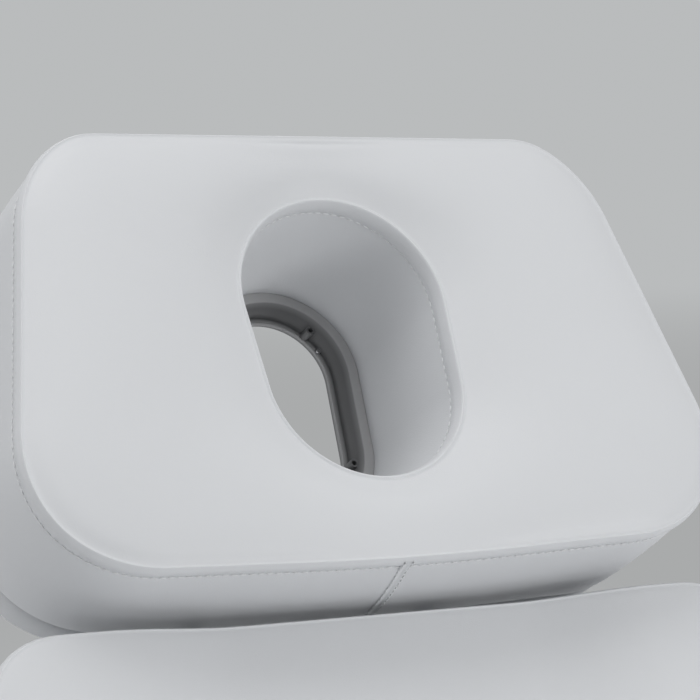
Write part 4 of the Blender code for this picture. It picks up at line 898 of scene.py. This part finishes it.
class Headrest:
    """Shape of the headrest's cushion, board and face hole, in the head's axes."""

    def __init__(self):
        self.rest = settings().headrest
        self.low, self.high = HEAD.extent("headrest_cushion")
        self.centre = Vector((0, (self.low.y + self.high.y) / 2))
        self.seam = self.low.z + self.rest.foam
        self.rim = self.seam - self.rest.rim_drop
        self.outer = self.edge_outline()
        rays = self.outer - np.array([0, self.rest.hole_offset])
        self.hole = hole_outline(self.rest, rays) + np.array([0, self.rest.hole_offset])

    def edge_outline(self):
        """The edge seam: narrower at the head end, with a slight bow at the back."""
        rest = self.rest
        size = (rest.width, rest.depth, rest.corner, DENSE_POINTS, rest.far_corner)
        outline = rounded_rectangle(*size)
        part = outline[:, 1] / rest.depth + 1 / 2
        outline[:, 0] *= 1 + (rest.far_width / rest.width - 1) * part
        near = np.clip(1 - 2 * part, 0, 1)
        outline[:, 1] -= rest.bow * near * np.cos(math.pi / 2 * np.clip(outline[:, 0] / rest.bow_half, -2, 2))
        return closed_resample(outline, OUTLINE_POINTS)

    def lift(self, outline, height):
        return with_height(outline + np.array(self.centre), height)

    def around(self, inset, height):
        return self.lift(inward(self.outer, inset), height)

    def in_hole(self, inset, height):
        """The hole's outline, moved into the foam by inset."""
        return self.lift(inward(self.hole, -inset), height)

    def panel_height(self, points):
        near_edge = loop_distance(points, self.outer)
        rounded = 1 - np.exp(-near_edge / self.rest.roll)
        sunk = np.exp(-loop_distance(points, self.hole) / self.rest.dish_reach)
        return self.seam + self.rest.crown * rounded - (self.rest.crown + self.rest.rim_drop) * sunk

    def boxing_row(self, part):
        """A row of the boxing, from its lower edge up to the seam."""
        sewing = settings().sewing
        start = self.low.z + sewing.edge
        height = start + (self.seam + SEAM_PROFILE[0][1] - start) * part
        return self.around(-sewing.bulge * math.sin(math.pi * part), height)

    def rows(self):
        """Rows from the lower edge over the seam and panel, down the hole, and those that may swell."""
        rows = [self.around(inset, self.low.z + height) for inset, height in cushion_edge()]
        free = []
        for step in range(BOXING_ROWS):
            free.append(len(rows))
            rows.append(self.boxing_row(step / BOXING_ROWS))
        rows += [self.around(inset, self.seam + height) for inset, height in SEAM_PROFILE]
        edge = inward(self.outer, SEAM_PROFILE[-1][0])
        rim = inward(self.hole, -RIM_PROFILE[0][0])
        for step in range(1, TOP_ROWS):
            part = step / TOP_ROWS
            points = edge + (rim - edge) * part
            height = self.panel_height(points) + SEAM_PROFILE[-1][1] * (1 - part) ** PANEL_FADE
            height += (self.rim + RIM_PROFILE[0][1] - height) * part**PANEL_FADE
            free.append(len(rows))
            rows.append(self.lift(points, height))
        rows += [self.in_hole(inset, self.rim + height) for inset, height in RIM_PROFILE]
        top = self.rim + RIM_PROFILE[-1][1]
        start = RIM_PROFILE[-1][0]
        foot = -self.rest.hole_taper
        for step in range(1, LINING_ROWS + 1):
            part = step / LINING_ROWS
            rows.append(self.in_hole(start + (foot - start) * part, top + (self.low.z - top) * part))
        flange = HEAD.extent("face_hole_ring")[1].z
        hem = foot + LINING_THICKNESS
        tuck = flange - LINING_TUCK
        end = ((foot, flange), (foot, tuck), (hem, tuck), (hem, self.low.z - FIT_GAP))
        return rows + [self.in_hole(*place) for place in end], free

    def board_rows(self):
        """Rows round the board's rolled lower edge, up its side, and down its rebate and opening."""
        low, high = HEAD.extent("headrest_board")
        inset, taper = self.rest.board_inset, self.rest.hole_taper
        ledge = HEAD.extent("face_hole_ring")[1].z - RING_FLANGE - FIT_GAP
        rebate = LINING_THICKNESS + FIT_GAP - taper
        opening = -taper - RING_SEAT
        angles = np.linspace(0, math.pi / 2, 2 * EDGE_ROWS + 1)
        side = [(inset + step, low.z + height) for step, height in rolled_edge(self.rest.board_roll, angles)]
        side += [(inset, (low.z + high.z) / 2), (inset, high.z - BOARD_EDGE), (inset + BOARD_EDGE, high.z)]
        hole = ((rebate, high.z), (rebate, ledge), (opening, ledge), (opening, low.z))
        return [self.around(*place) for place in side] + [self.in_hole(*place) for place in hole]

    def on_boxing(self, skin, across, height, rise):
        """The point on the cushion's side at the back, raised out of it."""
        across += self.rest.join_lean * (self.seam - height)
        start = HEAD.matrix @ Vector((across, self.low.y - self.rest.depth, height))
        toward = HEAD.matrix.to_3x3() @ Vector((0, 1, 0))
        met = HEAD.inverse @ skin.ray_cast(start, toward)[0]
        return met.x, met.y - rise, met.z

    def join_heights(self):
        return np.linspace(self.low.z + settings().sewing.edge, self.seam - JOIN_TOP, JOIN_ROWS)

    def join_rows(self, skin):
        """Cross-sections of the lapped strip that closes the boxing, from its lower edge up."""
        rest = self.rest
        places = rest.join_at + rest.join_width * np.linspace(-1 / 2, 1 / 2, len(JOIN_PROFILE))
        rows = []
        for height in self.join_heights():
            outer = [
                self.on_boxing(skin, across, height, rest.join_rise * part)
                for across, part in zip(places, JOIN_PROFILE)
            ]
            inner = [self.on_boxing(skin, x, height, -rest.join_rise) for x in places[-2:0:-1]]
            rows.append(np.array(outer + inner))
        return rows

    def join_stitches(self, skin):
        """A row of stitches on each side of the boxing's join."""
        rest = self.rest
        for side in SIDES.values():
            across = rest.join_at + side * rest.join_width / 3
            yield [self.on_boxing(skin, across, height, rest.join_rise) for height in self.join_heights()]


class CHAIR_OT_headrest(bpy.types.Operator):
    """Sews the headrest with its face hole, boxing and wrapped board"""

    bl_idname = "treatment_chair.headrest"
    bl_label = "Headrest"

    def execute(self, context):
        shape = Headrest()
        rows, free = shape.rows()
        cushion = loft("headrest_pad", rows, HEAD, closed=True)
        upholster(cushion, free, "headrest", "headrest_cushion")
        board = loft("headrest_underside", shape.board_rows(), HEAD, closed=True)
        dress(board, "headrest", "vinyl_underside", finish_for("vinyl_underside"), ["headrest_board"])
        skin = BVHTree.FromObject(cushion, context.evaluated_depsgraph_get())
        join = loft("headrest_join", shape.join_rows(skin), HEAD)
        soften(join)
        dress(join, "headrest", "vinyl", finish_for("vinyl"))
        lines = [
            (HEAD.place(shape.around(STITCH_INSET, shape.seam - STITCH_DROP)), True),
            (HEAD.place(shape.in_hole(RIM_STITCH_INSET, shape.rim - RIM_STITCH_DROP)), True),
            *((HEAD.place(line), False) for line in shape.join_stitches(skin)),
        ]
        stitch("headrest_stitches", lines, "headrest")
        return {"FINISHED"}


class CHAIR_OT_face_ring(bpy.types.Operator):
    """Moulds the ring that lines the bottom of the face hole"""

    bl_idname = "treatment_chair.face_ring"
    bl_label = "Face ring"

    def execute(self, context):
        shape = Headrest()
        low, high = HEAD.extent("face_hole_ring")
        rim = shape.rest.hole_taper + HEM_GAP
        edge = shape.rest.hole_taper + FIT_GAP
        face = edge + RING_FACE
        collar = edge + RING_SEAT
        wall = collar + RING_WALL
        foot = wall + RING_DRAFT
        lip = foot + RING_LIP
        floor = low.z + RING_FLANGE
        # Inset, height and share of painted light of each row round the ring's section; the upward faces of flange
        # and lip are painted paler where light from above falls
        section = (
            (edge, high.z - RING_FLANGE, 0),
            (rim, high.z - RING_RIM, 1),
            (rim + RING_RIM, high.z, 1),
            (face - RING_EDGE, high.z, 1),
            (face, high.z - RING_EDGE, 0.3),
            (wall - RING_EDGE, high.z - RING_FLANGE, 0),
            (wall, high.z - RING_FLANGE - RING_EDGE, 0),
            (foot, floor, 0),
            (lip - 2 * RING_EDGE, floor, 1),
            (lip - RING_EDGE, floor + RING_EDGE, 1),
            (lip, floor, 1),
            (lip, low.z + RING_EDGE, 0),
            (lip - RING_EDGE, low.z, 0),
            (collar + RING_EDGE, low.z, 0),
            (collar, low.z + RING_EDGE, 0),
            (collar, high.z - RING_FLANGE, 0),
        )
        rows = [shape.in_hole(-inset, height) for inset, height, _ in section]
        ring = loft("face_ring", rows, HEAD, closed=True)
        ring.data.set_sharp_from_angle(angle=EDGE_ANGLE)
        # Painted light: each row's share of the paler tint, full on the upward faces of flange and lip
        pale = ring.data.attributes.new("pale", "FLOAT", "POINT")
        painted_light_share = np.array([row[2] for row in section], dtype=float)
        pale.data.foreach_set("value", np.repeat(painted_light_share, OUTLINE_POINTS))
        dress(ring, "headrest", "ring_plastic", finish_for("ring_plastic"), ["face_hole_ring"])
        track = shape.in_hole(-foot - RING_EDGE, floor)
        out = HEAD.matrix.to_3x3() @ Vector((0, 0, 1))
        bearing = np.degrees(np.arctan2(shape.hole[:, 1] - shape.rest.hole_offset, shape.hole[:, 0]))
        for name, slot, angles, size in (
            ("ring_bosses", "ring_plastic", BOSS_ANGLES, RING_BOSS),
            ("ring_screws", "steel", FITTING_ANGLES, RING_SCREW),
        ):
            points = [track[np.abs((bearing - angle + 180) % 360 - 180).argmin()] for angle in angles]
            fasten(name, [(point, out) for point in HEAD.place(points)], "headrest", slot, *size)
        return {"FINISHED"}


class CHAIR_OT_sections(bpy.types.Operator):
    """Sews the back, seat and leg cushions"""

    bl_idname = "treatment_chair.sections"
    bl_label = "Back, seat and leg"

    def execute(self, context):
        chair = settings()
        back, seat, leg = chair.back, chair.seat, chair.leg

        def flank(x):
            return back.bolster * smooth_step(back.bolster_from, back.bolster_to, np.abs(x))

        ends = (back.width, back.top_width)
        back_shape = (back.corner, back.crown, back.foam, ends, flank, back.reach)
        leg_shape = (leg.corner, leg.crown, None, (leg.foot_width, leg.width))
        pads = (
            ("back_pad", Pad(BACK, "back_cushion", *back_shape), "back", "back_cushion"),
            ("seat_pad", Pad(CHAIR, "seat_cushion", seat.corner, seat.crown), "seat", "seat_cushion"),
            ("leg_pad", Pad(LEG, "leg_cushion", *leg_shape), "leg", "leg_cushion"),
        )
        for name, pad, body, node in pads:
            sew_pad(name, pad, body, node)
        return {"FINISHED"}


class CHAIR_OT_armrests(bpy.types.Operator):
    """Sews the two armrest pads"""

    bl_idname = "treatment_chair.armrests"
    bl_label = "Armrests"

    def execute(self, context):
        arm = settings().armrest
        for side in SIDES:
            node = f"armrest_pad_{side}"
            pad = Pad(CHAIR, node, arm.corner, arm.crown)
            sew_pad(f"armrest_cushion_{side}", pad, f"armrest_{side}", node)
        return {"FINISHED"}


def round_edges(node):
    """A copy of a rigid node with its edges rounded and its curved faces smooth."""
    source = frame["nodes"][node]
    data = bmesh.new()
    data.from_mesh(source.data)
    bmesh.ops.remove_doubles(data, verts=data.verts, dist=MERGE_DISTANCE)
    bmesh.ops.dissolve_limit(
        data, angle_limit=FLAT_ANGLE, verts=data.verts, edges=data.edges, use_dissolve_boundaries=False
    )
    mesh = bpy.data.meshes.new(f"{node}_finished")
    data.to_mesh(mesh)
    data.free()
    obj = link_mesh(f"{node}_finished", mesh)
    bevel = obj.modifiers.new("edges", "BEVEL")
    bevel.width = EDGE_WIDTH
    bevel.segments = EDGE_STEPS
    bevel.limit_method = "ANGLE"
    bevel.angle_limit = EDGE_ANGLE
    bevel.use_clamp_overlap = True
    obj.data = evaluated_mesh(obj)
    obj.modifiers.clear()
    obj.data.shade_smooth()
    obj.data.set_sharp_from_angle(angle=EDGE_ANGLE)
    return obj


class CHAIR_OT_rigid_pieces(bpy.types.Operator):
    """Rounds the edges of the frames, drives, covers and fittings and gives them their finishes"""

    bl_idname = "treatment_chair.rigid_pieces"
    bl_label = "Frames and fittings"

    def execute(self, context):
        for node in sorted(frame["nodes"]):
            slot = SLOT_OF[node]
            if slot not in NEW_SLOTS:
                dress(round_edges(node), BODY_OF[node], slot, finish_for(slot), [node])
        return {"FINISHED"}


def seats_on(node, section, places, facing):
    """Where a node's surface is met at each place, with the direction that it faces there.

    Places and facing are in the section's axes.
    """
    mesh = frame["nodes"][node].data
    skin = BVHTree.FromPolygons([v.co for v in mesh.vertices], [p.vertices for p in mesh.polygons])
    out = section.matrix.to_3x3() @ Vector(facing)
    seats = []
    for place in section.place(places):
        point = skin.ray_cast(Vector(place) + out, -out)[0]
        if point is None:
            raise ValueError(f"{node} has no surface at {place}")
        seats.append((point, out))
    return seats


class CHAIR_OT_screws(bpy.types.Operator):
    """Drives the screws of the frames, side plates, armrest flanges and base cover"""

    bl_idname = "treatment_chair.screws"
    bl_label = "Screws"

    def execute(self, context):
        down = (0, 0, -1)
        for node, section, places in (
            ("headrest_bracket", HEAD, BRACKET_SCREWS),
            ("back_frame", BACK, BACK_SCREWS),
            ("leg_frame", LEG, LEG_SCREWS),
            ("seat_frame", CHAIR, SEAT_SCREWS),
        ):
            both = [(sign * x, y, 0) for sign in SIDES.values() for x, y in places]
            seats = seats_on(node, section, both, down)
            fasten(f"{node}_screws", seats, BODY_OF[node], "steel", *FRAME_SCREW)
        cover = []
        for side, sign in SIDES.items():
            outward = (sign, 0, 0)
            cover += seats_on("base_cover", CHAIR, [(0, y, z) for y, z in COVER_SCREWS], outward)
            bolts = seats_on(f"side_plate_{side}", CHAIR, [(0, y, z) for y, z in PLATE_BOLTS], outward)
            fasten(f"side_plate_bolts_{side}", bolts, "seat", "steel", *PLATE_BOLT)
            under = seats_on(f"armrest_arm_{side}", CHAIR, [(sign * x, y, 0) for x, y in ARM_SCREWS], down)
            fasten(f"armrest_screws_{side}", under, f"armrest_{side}", "steel", *FRAME_SCREW)
        fasten("base_cover_screws", cover, "base", "steel", *COVER_SCREW)
        return {"FINISHED"}


# Stage


class CHAIR_OT_stage(bpy.types.Operator):
    """Sets up the pale floor, soft light and camera"""

    bl_idname = "treatment_chair.stage"
    bl_label = "Stage"

    def execute(self, context):
        stage = settings().stage
        scene = context.scene
        scene.view_settings.view_transform = "Standard"
        make_world(stage)
        make_floor(stage)
        for lamp in LAMPS:
            add_lamp(*lamp)
        data = bpy.data.cameras.new("camera")
        data.lens = stage.lens
        data.clip_start = CAMERA_CLIP
        camera = bpy.data.objects.new("camera", data)
        camera.location = stage.camera
        camera.rotation_euler = Vector(stage.aim).to_track_quat("-Z", "Y").to_euler()
        scene.collection.objects.link(camera)
        scene.camera = camera
        return {"FINISHED"}


def seen_directly(tree):
    """Socket that is 1 for what the camera, mirrors and glass see, and 0 for light on the object."""
    path = tree.nodes.new("ShaderNodeLightPath")
    total = path.outputs["Is Camera Ray"]
    for ray in ("Is Glossy Ray", "Is Transmission Ray"):
        both = add(tree, "ShaderNodeMath", {"operation": "MAXIMUM"})
        tree.links.new(total, both.inputs[0])
        tree.links.new(path.outputs[ray], both.inputs[1])
        total = both.outputs[0]
    return total


def show_mixed(tree, output, factor, first, second):
    """Sends a mix of two shader nodes to the tree's output."""
    mix = add(tree, "ShaderNodeMixShader", Fac=factor)
    tree.links.new(first.outputs[0], mix.inputs[1])
    tree.links.new(second.outputs[0], mix.inputs[2])
    tree.links.new(mix.outputs[0], tree.nodes.new(output).inputs["Surface"])


def make_world(stage):
    world = bpy.data.worlds.new("studio")
    bpy.context.scene.world = world
    world.use_nodes = True
    tree = world.node_tree
    tree.nodes.clear()
    direction = add(tree, "ShaderNodeTexCoord").outputs["Generated"]
    upward = add(tree, "ShaderNodeSeparateXYZ", Vector=direction).outputs["Z"]
    dome = mix_colours(tree, upward, stage.horizon, stage.zenith)
    light = add(tree, "ShaderNodeBackground", Color=dome, Strength=1.0)
    seen = add(tree, "ShaderNodeBackground", Color=(*stage.backdrop, 1), Strength=1.0)
    show_mixed(tree, "ShaderNodeOutputWorld", seen_directly(tree), light, seen)


def make_floor(stage):
    """A wide pale floor that keeps the chair's shadow and runs out into the backdrop."""
    corners = [(x * FLOOR_REACH, y * FLOOR_REACH, 0) for x, y in ((-1, -1), (1, -1), (1, 1), (-1, 1))]
    floor = mesh_object("floor", corners, [(0, 1, 2, 3)])
    material = bpy.data.materials.new("studio_floor")
    material.use_nodes = True
    tree = material.node_tree
    tree.nodes.clear()
    place = add(tree, "ShaderNodeTexCoord").outputs["Object"]
    away = add(tree, "ShaderNodeVectorMath", {"operation": "LENGTH"})
    tree.links.new(place, away.inputs[0])

    def share_between(start, end):
        smooth = {"interpolation_type": "SMOOTHSTEP"}
        inputs = {"Value": away.outputs["Value"], "From_Min": start, "From_Max": end}
        return add(tree, "ShaderNodeMapRange", smooth, **inputs).outputs["Result"]

    near = add(tree, "ShaderNodeBsdfDiffuse", Color=(*stage.floor, 1))
    fade = mix_colours(tree, share_between(*FLOOR_END), stage.far_floor, stage.backdrop)
    glow = add(tree, "ShaderNodeEmission", Color=fade, Strength=1.0)
    show_mixed(tree, "ShaderNodeOutputMaterial", share_between(*FAR_FLOOR), near, glow)
    floor.data.materials.append(material)


def add_lamp(name, place, target, size, power, spread):
    data = bpy.data.lights.new(name, "AREA")
    data.shape = "DISK"
    data.size = size
    data.energy = power
    data.spread = spread
    lamp = bpy.data.objects.new(name, data)
    lamp.location = place
    lamp.rotation_euler = (Vector(target) - Vector(place)).to_track_quat("-Z", "Y").to_euler()
    bpy.context.scene.collection.objects.link(lamp)


class CHAIR_PT_panel(bpy.types.Panel):
    """Lists the chair's pieces in the sidebar"""

    bl_idname = "CHAIR_PT_panel"
    bl_label = "Treatment Chair"
    bl_space_type = "VIEW_3D"
    bl_region_type = "UI"
    bl_category = "Treatment Chair"

    def draw(self, context):
        for operator in OPERATORS:
            self.layout.operator(operator.bl_idname)


OPERATORS = (
    CHAIR_OT_stage,
    CHAIR_OT_headrest,
    CHAIR_OT_face_ring,
    CHAIR_OT_sections,
    CHAIR_OT_armrests,
    CHAIR_OT_rigid_pieces,
    CHAIR_OT_screws,
)
PAD_GROUPS = (HeadrestSettings, BackSettings, SeatSettings, LegSettings, ArmrestSettings)
LOOK_GROUPS = (SewingSettings, FinishSettings, StageSettings)
CLASSES = (*PAD_GROUPS, *LOOK_GROUPS, ChairSettings, *OPERATORS, CHAIR_PT_panel)


def register():
    for cls in CLASSES:
        bpy.utils.register_class(cls)
    bpy.types.Scene.treatment_chair = bpy.props.PointerProperty(type=ChairSettings)


def unregister():
    del bpy.types.Scene.treatment_chair
    for cls in reversed(CLASSES):
        bpy.utils.unregister_class(cls)


def main():
    register()
    for operator in OPERATORS:
        group, name = operator.bl_idname.split(".")
        getattr(getattr(bpy.ops, group), name)()


if __name__ == "__main__":
    main()
